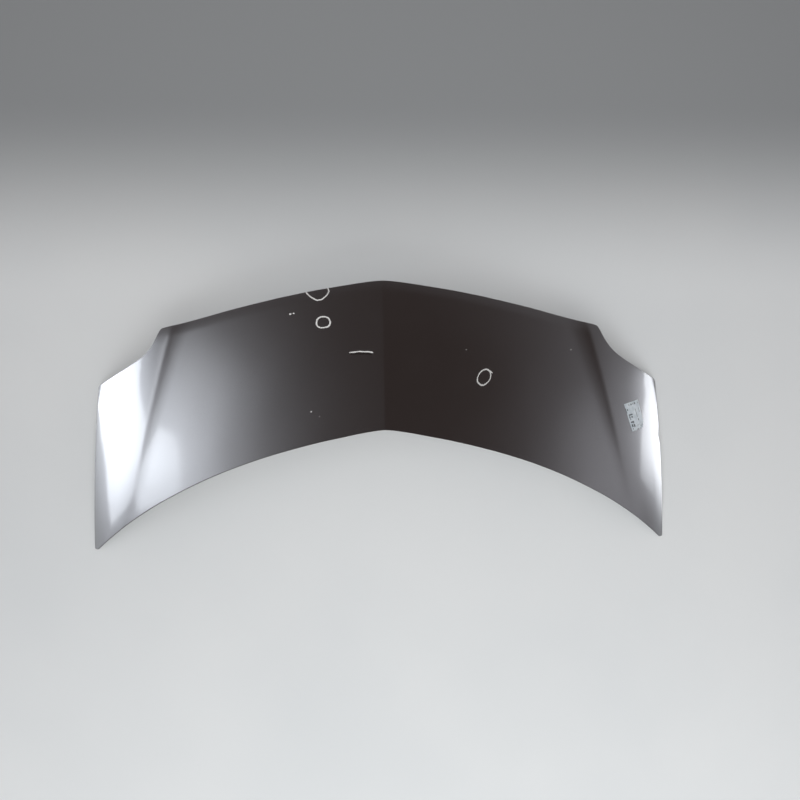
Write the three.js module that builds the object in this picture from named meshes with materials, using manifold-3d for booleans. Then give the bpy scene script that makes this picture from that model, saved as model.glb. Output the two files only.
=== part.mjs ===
// Bonnet of a compact people carrier, unbolted from its car and lying on a
// surface with its painted side up. All sizes are in millimetres.
//
// Frame: +Y to the front edge, +X to the right-hand side of the car, +Z up. The
// origin is under the middle of the panel's outline, on the surface that it
// lies on. It rests on four points of its edge: the two rear points and the
// two rear ends of the headlamp cut-outs.
//
// Construction: a pressed outer skin whose border is folded back (hemmed) round
// the flange of a pressed inner panel. The inner panel is a ring channel with
// seven ribs and thin webs between them, held off the skin by dabs of mastic.
// Plates behind the hinge seats and the lock seat carry weld nuts. A bolted
// plate with a wire loop is what the lock grips, and rubber buffers sit in the
// ring channel.
import * as THREE from "three";
import { mergeVertices } from "three/addons/utils/BufferGeometryUtils.js";
import Module from "manifold-3d";

// ---------------------------------------------------------------- dimensions
const SKIN_T = 0.75; // outer sheet
const INNER_T = 0.65; // inner sheet
const HEM_GAP = 0.3; // sealer between the sheets in the hem
const HEM_W = 11; // from the edge to the end of the folded-back flange
const HEM_R = (2 * SKIN_T + INNER_T + 2 * HEM_GAP) / 2; // outer radius of the fold
const HEM_STEPS = 2;
const RIDGE_Z = 209.94; // top of the centre ridge above the surface it lies on
const TILT = -0.0043; // fore-and-aft lean of the panel as it lies, per mm
const CENTRE_Y = -0.75; // brings the outline's middle over the origin

const CREASE_X = 540; // side crease at CREASE_Y
const CREASE_Y = 243;
const CREASE_LEAN = 0.2495; // outward per mm towards the rear
const SIDE_X = 760; // side edge at SIDE_Y
const SIDE_Y = 90;
const SIDE_LEAN = 0.0405;

const ROOF_SLOPE = 0.06; // slope beside the centre crease
const CROWN = 0.3; // added slope at CROWN_X
const CROWN_X = 600;
const CROWN_P = 1.4;
const LONG_R = 1800; // fore-and-aft radius
const LONG_Y = -123; // where it is level
const LIP_H = 8; // rise of the skin towards the side crease, at the front
const WING_SLOPE = 0.82; // slope at the side edge
const NOSE_W = 30; // width of the roll along the front edge
const NOSE_R = 90;

const FLANGE = 13; // inner panel: width of its flat flange
const WALL = 7; // width that a channel wall takes
const FLOOR_END = 68; // inset where the ring channel's floor ends
const CHANNEL = 24; // channel depth below the skin
const CHANNEL_WING = 16; // the same where the wing meets the side channel
const CHANNEL_SIDE = 12; // the same along the side edge
const WEB = 7; // web depth below the skin
const INNER_EDGE = 2.0; // inset of the inner sheet's edge in the hem
const CROP = 7; // the same at its outer corners
const SEAT_GAP = 0.3; // paint and play between pieces that touch

const HINGE_SEAT = [0.86, 0.93]; // columns that a hinge seat spans
const HINGE_Z = 64; // hinge seats, height of the sheet's upper face
const HINGE_PITCH = 28; // between its two bolts
const BOLT_HOLE_R = 4.5;
const LOCK_SEAT = 0.12; // column where the lock seat ends, either side
const LOCK_Z = 124.5; // lock seat

// Outline, +X half. Front edge, headlamp cut-out, then the side edge's end.
const FRONT = [
  [0, 347.6], [15, 346.9], [45, 343.8], [75, 339.6], [106, 334.8], [136, 330.2], [167, 325.2], [197, 320],
  [228, 314], [259, 308], [290, 301.2], [321, 294.5], [352, 287.6], [384, 280.3], [416, 272.5], [449, 264.3],
  [482, 256.5], [514, 249], [540, 243.4], [562, 239], [569, 237], [573.5, 233], [577, 226], [583, 213],
  [594, 193.5], [606, 178.3], [623, 162.6], [647, 147.3], [675, 132.4], [704, 118.2], [736, 102.6], [752, 95],
  [757.5, 91.3], [760.1, 85.5],
];
const REAR = [
  [0, -27.3], [14, -28.2], [44, -32.5], [73, -37.8], [102, -43.8], [132, -49.9], [162, -56.4], [191, -63.3],
  [221, -71], [251, -79.2], [282, -88], [312, -97.3], [343, -107.6], [374, -118.7], [406, -131], [438, -144.3],
  [471, -159], [504, -174.9], [538, -192.3], [573, -211], [608, -231.6], [645, -255.2], [682, -281], [723, -312],
  [752, -335.4], [765, -346], [771, -348.6], [775.3, -347.2], [777.5, -341.8],
];

// ------------------------------------------------------------------- surface
const clamp = (v, a, b) => Math.min(b, Math.max(a, v));
const creaseX = (y) => CREASE_X + CREASE_LEAN * (CREASE_Y - y);
const sideX = (y) => SIDE_X + SIDE_LEAN * (SIDE_Y - y);
const mainDrop = (x) => ROOF_SLOPE * x + (CROWN / (CROWN_P + 1)) * x * (x / CROWN_X) ** CROWN_P;
const mainSlope = (x) => ROOF_SLOPE + CROWN * (x / CROWN_X) ** CROWN_P;
const lipH = (y) => clamp((LIP_H * (y + 303)) / 556, 0, 8.5);
const lipW = (y) => clamp(28 + (30 * (y + 250)) / 503, 25, 60);

// A smooth curve through the outline's points.
function smooth(points, steps) {
  const curve = new THREE.CatmullRomCurve3(
    points.map(([x, y]) => new THREE.Vector3(x, y, 0)),
    false,
    "centripetal",
  );
  return curve.getPoints(points.length * steps).map((p) => [p.x, p.y]);
}
const frontLine = smooth(FRONT, 6);
const rearLine = smooth(REAR, 6);

// The front edge's line carried straight on past the cut-out, for the nose roll.
function frontY(x) {
  if (x > 562) return 239 - 0.2 * (x - 562);
  let i = 1;
  while (frontLine[i][0] < x) i++;
  const [a, b] = [frontLine[i - 1], frontLine[i]];
  return a[1] + ((b[1] - a[1]) * (x - a[0])) / (b[0] - a[0]);
}

// Height of the painted surface.
function height(xs, y) {
  const x = Math.abs(xs);
  const c = creaseX(y);
  let z;
  if (x <= c) {
    const t = clamp(1 - (c - x) / lipW(y), 0, 1);
    z = -mainDrop(x) + lipH(y) * t * t;
  } else {
    const w = sideX(y) - c;
    const q = Math.min((x - c) / w, 1.5);
    const s0 = mainSlope(c) - 0.06;
    z = -mainDrop(c) + lipH(y) - w * (s0 * q + ((WING_SLOPE - s0) * q * q) / 2);
  }
  const nose = clamp(NOSE_W - (frontY(x) - y), 0, NOSE_W + 4);
  return RIDGE_Z + z - (y - LONG_Y) ** 2 / (2 * LONG_R) - (nose * nose) / (2 * NOSE_R) + TILT * y;
}
function normal(x, y) {
  const e = 0.5;
  return new THREE.Vector3(
    -(height(x + e, y) - height(x - e, y)) / (2 * e),
    -(height(x, y + e) - height(x, y - e)) / (2 * e),
    1,
  ).normalize();
}
// The point at depth d under the painted surface, measured square to it.
const under = (x, y, d) => new THREE.Vector3(x, y, height(x, y)).addScaledVector(normal(x, y), -d);

// ------------------------------------------------------------- panel's grid
// A column is a straight line from the rear edge to the front edge, given as
// x at each y. A share from 0 to 1 runs from the centre line to the side
// crease, from 1 to 2 on to SIDE_BAND inside the side edge, and {side: d} is d
// inside the side edge.
const SIDE_BAND = FLOOR_END + WALL;
function columnX(c, y) {
  if (typeof c === "object") return sideX(y) - c.side;
  return c <= 1 ? c * creaseX(y) : creaseX(y) + (c - 1) * (sideX(y) - SIDE_BAND - creaseX(y));
}
function toLine(line, x, y) {
  let best = Infinity;
  let dir = null;
  for (let i = 1; i < line.length; i++) {
    const [ax, ay] = line[i - 1];
    const [bx, by] = line[i];
    const t = clamp(((x - ax) * (bx - ax) + (y - ay) * (by - ay)) / ((bx - ax) ** 2 + (by - ay) ** 2 || 1), 0, 1);
    const px = ax + t * (bx - ax);
    const py = ay + t * (by - ay);
    const d = Math.hypot(x - px, y - py);
    if (d < best) {
      best = d;
      dir = [px - x, py - y];
    }
  }
  return { distance: best, dir };
}
// Where a column is d inside the front (sign 1) or rear (sign -1) outline.
const mirrored = (line) => [...line.slice(1).reverse().map(([x, y]) => [-x, y]), ...line];
const FRONT_LINE = mirrored(frontLine);
const REAR_LINE = mirrored(rearLine);
function inset(c, d, sign) {
  const line = sign > 0 ? FRONT_LINE : REAR_LINE;
  const inside = (y) => {
    const x = columnX(c, y);
    // signed: positive inside the panel
    let i = 1;
    while (i < line.length - 1 && line[i][0] < x) i++;
    const [a, b] = [line[i - 1], line[i]];
    const edge = a[1] + ((b[1] - a[1]) * (x - a[0])) / (b[0] - a[0] || 1e-9);
    const past = sign > 0 ? y > edge : y < edge;
    return (past ? -1 : 1) * toLine(line, x, y).distance - d;
  };
  let lo = sign > 0 ? 360 : -360; // outside
  let hi = sign > 0 ? -20 : 90; // inside
  for (let k = 0; k < 50; k++) {
    const m = (lo + hi) / 2;
    if (inside(m) > 0) hi = m;
    else lo = m;
  }
  return (lo + hi) / 2;
}
// rows: {rear: d}, {front: d} or a share from 0 to 1 between the two bands.
function rowY(c, row, band) {
  if (row.rear !== undefined) return inset(c, row.rear, -1);
  if (row.front !== undefined) return inset(c, row.front, 1);
  const a = inset(c, band, -1);
  return a + row * (inset(c, band, 1) - a);
}

// ------------------------------------------------------------- sheet to solid
// Vertices {p, n} of one face of a sheet, and quads counter-clockwise from the
// side that n points to, become a closed solid of thickness t.
function sheetSolid(vertices, quads, t) {
  const n = vertices.length;
  const position = [];
  for (const v of vertices) position.push(v.p.x, v.p.y, v.p.z);
  for (const v of vertices) {
    const b = v.p.clone().addScaledVector(v.n, -t);
    position.push(b.x, b.y, b.z);
  }
  const index = [];
  const seen = new Map();
  for (const q of quads) {
    const d1 = vertices[q[0]].p.distanceTo(vertices[q[2]].p);
    const d2 = vertices[q[1]].p.distanceTo(vertices[q[3]].p);
    const tris = d1 <= d2 ? [[q[0], q[1], q[2]], [q[0], q[2], q[3]]] : [[q[0], q[1], q[3]], [q[1], q[2], q[3]]];
    for (const [a, b, c] of tris) {
      index.push(a, b, c);
      index.push(a + n, c + n, b + n);
    }
    for (let k = 0; k < 4; k++) seen.set(q[k] + "," + q[(k + 1) % 4], [q[k], q[(k + 1) % 4]]);
  }
  for (const [a, b] of seen.values())
    if (!seen.has(b + "," + a)) {
      index.push(b, a, a + n);
      index.push(b, a + n, b + n);
    }
  const g = new THREE.BufferGeometry();
  g.setAttribute("position", new THREE.Float32BufferAttribute(position, 3));
  g.setIndex(index);
  return g;
}
const both = (list) => [
  ...list
    .slice(1)
    .reverse()
    .map((c) => [c, -1]),
  ...list.map((c) => [c, 1]),
];

// ------------------------------------------------------------------ booleans
const wasm = await Module();
wasm.setup();
function toSolid(geometry, matrix) {
  let g = geometry.clone();
  g.deleteAttribute("normal");
  g.deleteAttribute("uv");
  if (matrix) g.applyMatrix4(matrix);
  g = mergeVertices(g, 1e-4);
  return new wasm.Manifold(
    new wasm.Mesh({ numProp: 3, vertProperties: g.attributes.position.array, triVerts: new Uint32Array(g.index.array) }),
  );
}
function toGeometry(solid) {
  const m = solid.getMesh();
  const v = new Float32Array(m.numVert * 3);
  for (let i = 0; i < m.numVert; i++) v.set(m.vertProperties.subarray(i * m.numProp, i * m.numProp + 3), i * 3);
  const g = new THREE.BufferGeometry();
  g.setAttribute("position", new THREE.BufferAttribute(v, 3));
  g.setIndex(new THREE.BufferAttribute(new Uint32Array(m.triVerts), 1));
  return g;
}
const moved = (x, y, z) => new THREE.Matrix4().makeTranslation(x, y, z);
// Axes for something that stands on the surface at (x, y): its z points along
// the surface's normal, or against it.
function seated(x, y, depth, down) {
  const n = normal(x, y);
  if (down) n.negate();
  const q = new THREE.Quaternion().setFromUnitVectors(new THREE.Vector3(0, 0, 1), n);
  return new THREE.Matrix4().compose(under(x, y, depth), q, new THREE.Vector3(1, 1, 1));
}
function cylinder(r, low, high, sides = 16) {
  return new THREE.CylinderGeometry(r, r, high - low, sides)
    .rotateX(Math.PI / 2)
    .translate(0, 0, (low + high) / 2);
}
function prism(shape, low, high, curveSegments = 4) {
  return new THREE.ExtrudeGeometry(shape, { depth: high - low, bevelEnabled: false, curveSegments }).translate(0, 0, low);
}
function roundedBox(w, h, r) {
  const s = new THREE.Shape();
  const [x, y] = [w / 2, h / 2];
  s.moveTo(-x + r, -y).lineTo(x - r, -y).absarc(x - r, -y + r, r, -Math.PI / 2, 0, false);
  s.lineTo(x, y - r).absarc(x - r, y - r, r, 0, Math.PI / 2, false);
  s.lineTo(-x + r, y).absarc(-x + r, y - r, r, Math.PI / 2, Math.PI, false);
  s.lineTo(-x, -y + r).absarc(-x + r, -y + r, r, Math.PI, 1.5 * Math.PI, false);
  return s;
}
// A closed ring or plug turned from [radius, height] points.
const turned = (profile, sides) =>
  new THREE.LatheGeometry(profile.map(([r, z]) => new THREE.Vector2(r, z)), sides).rotateX(Math.PI / 2);

// ---------------------------------------------------------------- outer skin
const SKIN_COLUMNS = [
  0, 0.06, 0.14, 0.21, 0.29, 0.37, 0.46, 0.54, 0.61, 0.69, 0.785, 0.86, 0.93, 0.965, 1, 1.12, 1.2, 1.24, 1.3, 1.42,
  1.65, 2, { side: 44 }, { side: FLANGE + WALL }, { side: HEM_W }, { side: HEM_R },
];
const SKIN_ROWS = [
  { rear: HEM_R }, { rear: HEM_W }, { rear: FLANGE + WALL }, { rear: FLOOR_END }, 0.5, { front: FLOOR_END },
  { front: FLANGE + WALL }, { front: HEM_W }, { front: HEM_R },
];
const range = (a, b) => Array.from({ length: Math.abs(b - a) + 1 }, (_, k) => a + Math.sign(b - a) * k);
const skinColumns = both(SKIN_COLUMNS);
const skinGrid = skinColumns.map(([c, sign]) =>
  SKIN_ROWS.map((row) => {
    const y = rowY(c, row, SIDE_BAND);
    const x = sign * columnX(c, y);
    return new THREE.Vector3(x, y, height(x, y));
  }),
);
// Height of the skin's flat facets at (x, y).
const facets = [];
for (let i = 1; i < skinColumns.length; i++)
  for (let j = 1; j < SKIN_ROWS.length; j++)
    for (const t of split(skinGrid[i - 1][j - 1], skinGrid[i][j - 1], skinGrid[i][j], skinGrid[i - 1][j])) facets.push(t);
function split(a, b, c, d) {
  return a.distanceTo(c) <= b.distanceTo(d) ? [[a, b, c], [a, c, d]] : [[a, b, d], [b, c, d]];
}
function facetHeight(x, y) {
  let best = -Infinity;
  let z = height(x, y);
  for (const [a, b, c] of facets) {
    const area = (b.x - a.x) * (c.y - a.y) - (c.x - a.x) * (b.y - a.y);
    const u = ((x - a.x) * (c.y - a.y) - (c.x - a.x) * (y - a.y)) / area;
    const v = ((b.x - a.x) * (y - a.y) - (x - a.x) * (b.y - a.y)) / area;
    const within = Math.min(u, v, 1 - u - v);
    if (within > best) {
      best = within;
      z = a.z + u * (b.z - a.z) + v * (c.z - a.z);
    }
  }
  return z;
}

function outerSkin() {
  const vertices = [];
  const quads = [];
  const add = (p, n) => vertices.push({ p, n }) - 1;
  const grid = skinGrid.map((line) => line.map((p) => ({ x: p.x, y: p.y, id: add(p.clone(), normal(p.x, p.y)) })));
  for (let i = 1; i < grid.length; i++)
    for (let j = 1; j < SKIN_ROWS.length; j++)
      quads.push([grid[i - 1][j - 1].id, grid[i][j - 1].id, grid[i][j].id, grid[i - 1][j].id]);
  // The hem: from an edge vertex the sheet turns through half a circle, and
  // runs back under the vertex next to it.
  function hem(edge, next, out) {
    const made = edge.map((e, k) => {
      const n = normal(e.x, e.y);
      const o = out(e);
      o.addScaledVector(n, -o.dot(n)).normalize();
      const centre = under(e.x, e.y, HEM_R);
      const ids = [e.id];
      for (let s = 1; s <= HEM_STEPS; s++) {
        const a = (Math.PI * s) / HEM_STEPS;
        const dir = n.clone().multiplyScalar(Math.cos(a)).addScaledVector(o, Math.sin(a));
        ids.push(add(centre.clone().addScaledVector(dir, HEM_R), dir));
      }
      ids.push(add(under(next[k].x, next[k].y, 2 * HEM_R), normal(next[k].x, next[k].y).negate()));
      return ids;
    });
    for (let k = 1; k < made.length; k++)
      for (let s = 1; s < made[k].length; s++)
        quads.push([made[k - 1][s - 1], made[k][s - 1], made[k][s], made[k - 1][s]]);
  }
  const away = (line) => (e) => {
    const { dir } = toLine(line, e.x, e.y);
    return new THREE.Vector3(dir[0], dir[1], 0);
  };
  const right = grid.length - 1;
  const top = SKIN_ROWS.length - 1;
  // Front edge and the two cut-outs, with a relief at each sharp front corner.
  const corner = SKIN_COLUMNS.indexOf(1.12);
  const mid = SKIN_COLUMNS.length - 1;
  for (const part of [range(2, mid - corner - 2), range(mid - corner, mid + corner), range(mid + corner + 2, right - 2)])
    hem(part.map((i) => grid[i][top]), part.map((i) => grid[i][top - 1]), away(FRONT_LINE));
  const along = range(2, top - 2);
  const back = range(2, right - 2).reverse();
  hem(back.map((i) => grid[i][0]), back.map((i) => grid[i][1]), away(REAR_LINE));
  const down = [...along].reverse();
  hem(down.map((j) => grid[right][j]), down.map((j) => grid[right - 1][j]), () => new THREE.Vector3(1, SIDE_LEAN, 0));
  hem(along.map((j) => grid[0][j]), along.map((j) => grid[1][j]), () => new THREE.Vector3(-1, SIDE_LEAN, 0));
  return sheetSolid(vertices, quads, SKIN_T);
}

// --------------------------------------------------------------- inner panel
const INNER_COLUMNS = [
  0, 0.06, 0.08, 0.12, 0.14, 0.21, 0.29, 0.31, 0.37, 0.39, 0.46, 0.54, 0.61, 0.63, 0.69, 0.71, 0.785, 0.835, 0.86,
  0.93, 0.965, 1, 1.12, 1.2, 1.24, 1.3, 1.42, 1.65, 2, { side: FLOOR_END }, { side: 44 }, { side: FLANGE + WALL },
  { side: FLANGE }, { side: INNER_EDGE },
];
const INNER_ROWS = [
  { rear: INNER_EDGE }, { rear: FLANGE }, { rear: FLANGE + WALL }, { rear: FLOOR_END }, { rear: SIDE_BAND }, 0.5,
  { front: SIDE_BAND }, { front: FLOOR_END }, { front: FLANGE + WALL }, { front: FLANGE }, { front: INNER_EDGE },
];
// Ribs that run from the rear channel to the front one: where the floor of
// each starts and ends. Its walls stand in the columns next to these.
const RIBS = [
  [0, 0.06],
  [0.31, 0.37],
  [0.63, 0.69],
  [0.965, 1.12],
];
function depthAt(c, row) {
  const isSide = typeof c === "object";
  const across = isSide ? c.side : Infinity;
  const along = Math.min(row.rear ?? Infinity, row.front ?? Infinity);
  if (Math.min(across, along) <= FLANGE) return SKIN_T + HEM_GAP;
  if (isSide) return CHANNEL_SIDE + ((CHANNEL_WING - CHANNEL_SIDE) * (across - FLANGE - WALL)) / (FLOOR_END - FLANGE - WALL);
  if (along <= FLOOR_END) return c <= 1 ? CHANNEL : CHANNEL + (CHANNEL_WING - CHANNEL) * (c - 1);
  return RIBS.some(([low, high]) => c >= low - 1e-9 && c <= high + 1e-9) ? CHANNEL : WEB;
}
function innerSheet() {
  const columns = both(INNER_COLUMNS);
  const vertices = [];
  const quads = [];
  const cropped = (c, row) => c.side === INNER_EDGE && (row.rear ?? row.front) === INNER_EDGE;
  const grid = columns.map(([column, sign]) =>
    INNER_ROWS.map((line) => {
      // The sheet's four outer corners are cropped inside the hem.
      const crop = cropped(column, line);
      const c = crop ? { side: CROP } : column;
      const row = crop ? (line.rear ? { rear: CROP } : { front: CROP }) : line;
      const y = rowY(c, row, SIDE_BAND);
      const x = sign * columnX(c, y);
      const v = { p: new THREE.Vector3(x, y, facetHeight(x, y)), n: normal(x, y) };
      v.p.addScaledVector(v.n, -depthAt(c, row));
      // Level seats pressed into the channel floor: hinges and lock.
      const onFloor = (k) => row[k] !== undefined && row[k] >= FLANGE + WALL && row[k] <= FLOOR_END;
      let seat = null;
      if (onFloor("rear") && c >= HINGE_SEAT[0] && c <= HINGE_SEAT[1]) seat = HINGE_Z;
      if (onFloor("front") && c <= LOCK_SEAT) seat = LOCK_Z;
      if (seat !== null) {
        v.p.set(x, y, seat);
        v.n.set(0, 0, 1);
      }
      return vertices.push(v) - 1;
    }),
  );
  for (let i = 1; i < columns.length; i++)
    for (let j = 1; j < INNER_ROWS.length; j++) quads.push([grid[i - 1][j - 1], grid[i][j - 1], grid[i][j], grid[i - 1][j]]);
  return sheetSolid(vertices, quads, INNER_T);
}
// Plan position of a row, or of a share between the ring channel's edges.
function point(c, row, sign) {
  const y = rowY(c, row, SIDE_BAND);
  return [sign * columnX(c, y), y];
}
// Lightening holes in the webs: [column, share, width, length, turn]
const WEB_HOLES = [
  [0.185, 0.25, 58, 62, -0.12], [0.185, 0.76, 58, 62, -0.12],
  [0.5, 0.25, 64, 66, -0.2], [0.5, 0.76, 66, 68, -0.2],
  [0.8, 0.25, 48, 70, -0.22], [0.8, 0.76, 48, 74, -0.22],
];
// Round holes in the channel floor: [column, row, radius]
const FLOOR_HOLES = [
  [0.25, { front: 44 }, 11], [0.5, { front: 44 }, 13], [0.82, { front: 44 }, 11],
  [0.2, { rear: 44 }, 13], [0.5, { rear: 44 }, 11], [0.75, { rear: 44 }, 13],
];
// Buffers: [name, column, row]
const BUFFERS = [
  ["front", 0.66, { front: 44 }],
  ["side", { side: 38 }, 0.62],
];
const BUFFER_HOLE_R = 4.4;
const STAY = [{ side: 38 }, 0.12]; // socket for the stay, +X side only
const STAY_HOLE_R = 8.4;

const HINGE_MID = point((HINGE_SEAT[0] + HINGE_SEAT[1]) / 2, { rear: (FLANGE + WALL + FLOOR_END) / 2 }, 1);
const HINGE_BOLTS = [1, -1].map((d) => [HINGE_MID[0] - 3 * d, HINGE_MID[1] + (d * HINGE_PITCH) / 2]);
const LOCK_Y = 300; // middle of the lock seat
const LEG_PITCH = 26; // striker legs, fore and aft
const WIRE_R = 4;
const LEG_HOLE_R = WIRE_R + 0.7;
const LOOP_DROP = 44; // from the lock seat to the bottom of the loop
const STRIKER_BOLT_X = 28;
const STRIKER_HOLE_R = 3.6;
const PLATE_T = 2.5;
const BACKING_T = 1.5;

function innerPanel() {
  let solid = toSolid(innerSheet());
  const cut = (g, m) => {
    solid = solid.subtract(toSolid(g, m));
  };
  for (const sign of [1, -1]) {
    for (const [c, share, w, l, turn] of WEB_HOLES) {
      const [x, y] = point(c, share, sign);
      const turned = new THREE.Matrix4().makeRotationZ(-turn * sign);
      cut(prism(roundedBox(w, l, Math.min(w, l) * 0.42), -26, 14, 2), seated(x, y, 0, false).multiply(turned));
    }
    for (const [c, row, r] of FLOOR_HOLES) cut(cylinder(r, -12, 8, 10), seated(...point(c, row, sign), CHANNEL, false));
    for (const [x, y] of HINGE_BOLTS) cut(cylinder(BOLT_HOLE_R, -5, 5, 8), moved(sign * x, y, HINGE_Z));
    for (const [, c, row] of BUFFERS) cut(cylinder(BUFFER_HOLE_R, -30, 0, 8), seated(...point(c, row, sign), 0, false));
    cut(cylinder(STRIKER_HOLE_R, -5, 5, 8), moved(sign * STRIKER_BOLT_X, LOCK_Y, LOCK_Z));
  }
  cut(cylinder(STAY_HOLE_R, -30, 0, 12), seated(...point(...STAY, 1), 0, false));
  for (const d of [-1, 1]) cut(cylinder(LEG_HOLE_R, -5, 5, 8), moved(0, LOCK_Y + (d * LEG_PITCH) / 2, LOCK_Z));
  return toGeometry(solid);
}

// ---------------------------------------------------------- plates and screws
function holed(shape, holes, low, high) {
  let solid = toSolid(prism(shape, low, high, 3));
  for (const [x, y, r] of holes) solid = solid.subtract(toSolid(cylinder(r, low - 2, high + 2, 10), moved(x, y, 0)));
  return toGeometry(solid);
}
const screwHoles = [[-STRIKER_BOLT_X, 0, STRIKER_HOLE_R], [STRIKER_BOLT_X, 0, STRIKER_HOLE_R]];
const strikerPlate = () =>
  holed(roundedBox(80, 39, 7), [...screwHoles, [0, -LEG_PITCH / 2, LEG_HOLE_R], [0, LEG_PITCH / 2, LEG_HOLE_R]], -PLATE_T, 0);
const lockBacking = () =>
  holed(roundedBox(100, 38, 6), [...screwHoles, [0, -LEG_PITCH / 2, 6], [0, LEG_PITCH / 2, 6]], 0, BACKING_T);
// The hinge plate follows its seat's slanted outline, a little inside it.
function hingeBacking(sign) {
  const corners = [
    point(HINGE_SEAT[0], { rear: FLANGE + WALL + 5 }, 1),
    point(HINGE_SEAT[1], { rear: FLANGE + WALL + 5 }, 1),
    point(HINGE_SEAT[1], { rear: FLOOR_END - 5 }, 1),
    point(HINGE_SEAT[0], { rear: FLOOR_END - 5 }, 1),
  ].map(([x, y]) => [sign * (x - HINGE_MID[0]) * 0.86, y - HINGE_MID[1]]);
  if (sign < 0) corners.reverse();
  const s = new THREE.Shape();
  corners.forEach(([x, y], i) => {
    const [px, py] = corners[(i + 3) % 4];
    const [nx, ny] = corners[(i + 1) % 4];
    const toward = (qx, qy) => {
      const l = Math.hypot(qx - x, qy - y);
      return [x + ((qx - x) / l) * 6, y + ((qy - y) / l) * 6];
    };
    const a = toward(px, py);
    i ? s.lineTo(...a) : s.moveTo(...a);
    s.quadraticCurveTo(x, y, ...toward(nx, ny));
  });
  return holed(s, HINGE_BOLTS.map(([x, y]) => [sign * (x - HINGE_MID[0]), y - HINGE_MID[1], BOLT_HOLE_R]), 0, BACKING_T);
}
function strikerLoop() {
  // One bent wire: two legs down from the plate, a straight bar between.
  const [h, r, top] = [LEG_PITCH / 2, 8, 5];
  const bottom = -LOOP_DROP + WIRE_R;
  const path = new THREE.CurvePath();
  const v = (y, z) => new THREE.Vector3(0, y, z);
  path.add(new THREE.LineCurve3(v(-h, top), v(-h, bottom + r)));
  path.add(new THREE.QuadraticBezierCurve3(v(-h, bottom + r), v(-h, bottom), v(-h + r, bottom)));
  path.add(new THREE.LineCurve3(v(-h + r, bottom), v(h - r, bottom)));
  path.add(new THREE.QuadraticBezierCurve3(v(h - r, bottom), v(h, bottom), v(h, bottom + r)));
  path.add(new THREE.LineCurve3(v(h, bottom + r), v(h, top)));
  const section = new THREE.Shape();
  for (let k = 0; k < 8; k++) {
    const a = (k * Math.PI) / 4;
    const [x, y] = [WIRE_R * Math.cos(a), WIRE_R * Math.sin(a)];
    k ? section.lineTo(x, y) : section.moveTo(x, y);
  }
  return new THREE.ExtrudeGeometry(section, { steps: 24, bevelEnabled: false, extrudePath: path });
}
function hexagon(flats) {
  const s = new THREE.Shape();
  for (let k = 0; k < 6; k++) {
    const a = (k * Math.PI) / 3;
    const [x, y] = [(flats / Math.sqrt(3)) * Math.cos(a), (flats / Math.sqrt(3)) * Math.sin(a)];
    k ? s.lineTo(x, y) : s.moveTo(x, y);
  }
  return s;
}
// Weld nut on +Z, seat at z 0.
const weldNut = (bore, flats, h) =>
  toGeometry(
    toSolid(prism(hexagon(flats), 0.8, h))
      .add(toSolid(cylinder(flats / 2 + 1.4, 0, 1.2, 12)))
      .subtract(toSolid(cylinder(bore, -1, h + 1, 10))),
  );
// Flange bolt under a seat: head down, shank up through z 0.
const flangeBolt = (r, flats, shank) =>
  toGeometry(
    toSolid(prism(hexagon(flats), -6, -1))
      .add(toSolid(cylinder(flats / 2 + 2.2, -1.6, 0, 14)))
      .add(toSolid(turned([[0, -1], [r, -1], [r, shank - 1], [r - 1, shank], [0, shank]], 10))),
  );

// --------------------------------------------------------- rubber and mastic
// Buffer seat at z 0, pad on +Z, stem and barb on -Z.
const buffer = () =>
  turned([[0, -7], [2.4, -7], [4.9, -4.4], [4.9, -3.4], [3.6, -2.8], [3.6, 0], [10.5, 0], [11.5, 2.5], [10, 11], [7.5, 15], [0, 15]], 12);
// Socket: a collar that a rod's end pushes into.
const socket = () =>
  turned([[5.2, -6], [8, -6], [8.9, -4.4], [7.9, -2.9], [7.9, 0], [11.5, 0], [11.5, 2], [9.5, 4], [5.2, 4], [5.2, -6]], 14);

// Depths where a sheet's two faces are met under (x, y), over a disc's rim.
const caster = new THREE.Raycaster();
function hits(mesh, x, y, r) {
  const m = seated(x, y, 0, true);
  const dir = new THREE.Vector3(0, 0, 1).transformDirection(m);
  const list = [];
  for (let k = 0; k <= 12; k++) {
    const a = (k * Math.PI) / 6;
    const o = new THREE.Vector3(k ? r * Math.cos(a) : 0, k ? r * Math.sin(a) : 0, -12).applyMatrix4(m);
    caster.set(o, dir);
    const d = caster.intersectObject(mesh).map((h) => h.distance - 12);
    if (d.length > 1) list.push({ near: d[0], far: d[1] });
  }
  return list;
}

// Dabs between the skin and the webs: [name, column, share]
const MASTIC = [
  ["centre", 0.185, 0.505], ["centre_rear", 0.205, 0.04], ["middle", 0.5, 0.505], ["middle_front", 0.46, 0.96],
  ["outer", 0.8, 0.505], ["outer_rear", 0.77, 0.04],
];
const MASTIC_R = 11;

// A paper stock label stuck on the +X side, outside the crease.
const LABEL = [[639, 25], [685.5, 37], [710, -41], [663.5, -49]]; // corners in plan
const LABEL_T = 0.2;
const LABEL_LIFT = 0.5;
function label() {
  const [na, nb] = [3, 4];
  const vertices = [];
  const quads = [];
  const at = (i, j) => {
    const [u, v] = [i / na, j / nb];
    const mix = (k) => (1 - v) * ((1 - u) * LABEL[0][k] + u * LABEL[1][k]) + v * ((1 - u) * LABEL[3][k] + u * LABEL[2][k]);
    return [mix(0), mix(1)];
  };
  for (let i = 0; i <= na; i++)
    for (let j = 0; j <= nb; j++) {
      const [x, y] = at(i, j);
      const n = normal(x, y);
      vertices.push({ p: new THREE.Vector3(x, y, facetHeight(x, y)).addScaledVector(n, LABEL_LIFT + LABEL_T), n });
    }
  const id = (i, j) => i * (nb + 1) + j;
  for (let i = 1; i <= na; i++) for (let j = 1; j <= nb; j++) quads.push([id(i - 1, j - 1), id(i - 1, j), id(i, j), id(i, j - 1)]);
  return sheetSolid(vertices, quads, LABEL_T);
}

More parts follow.
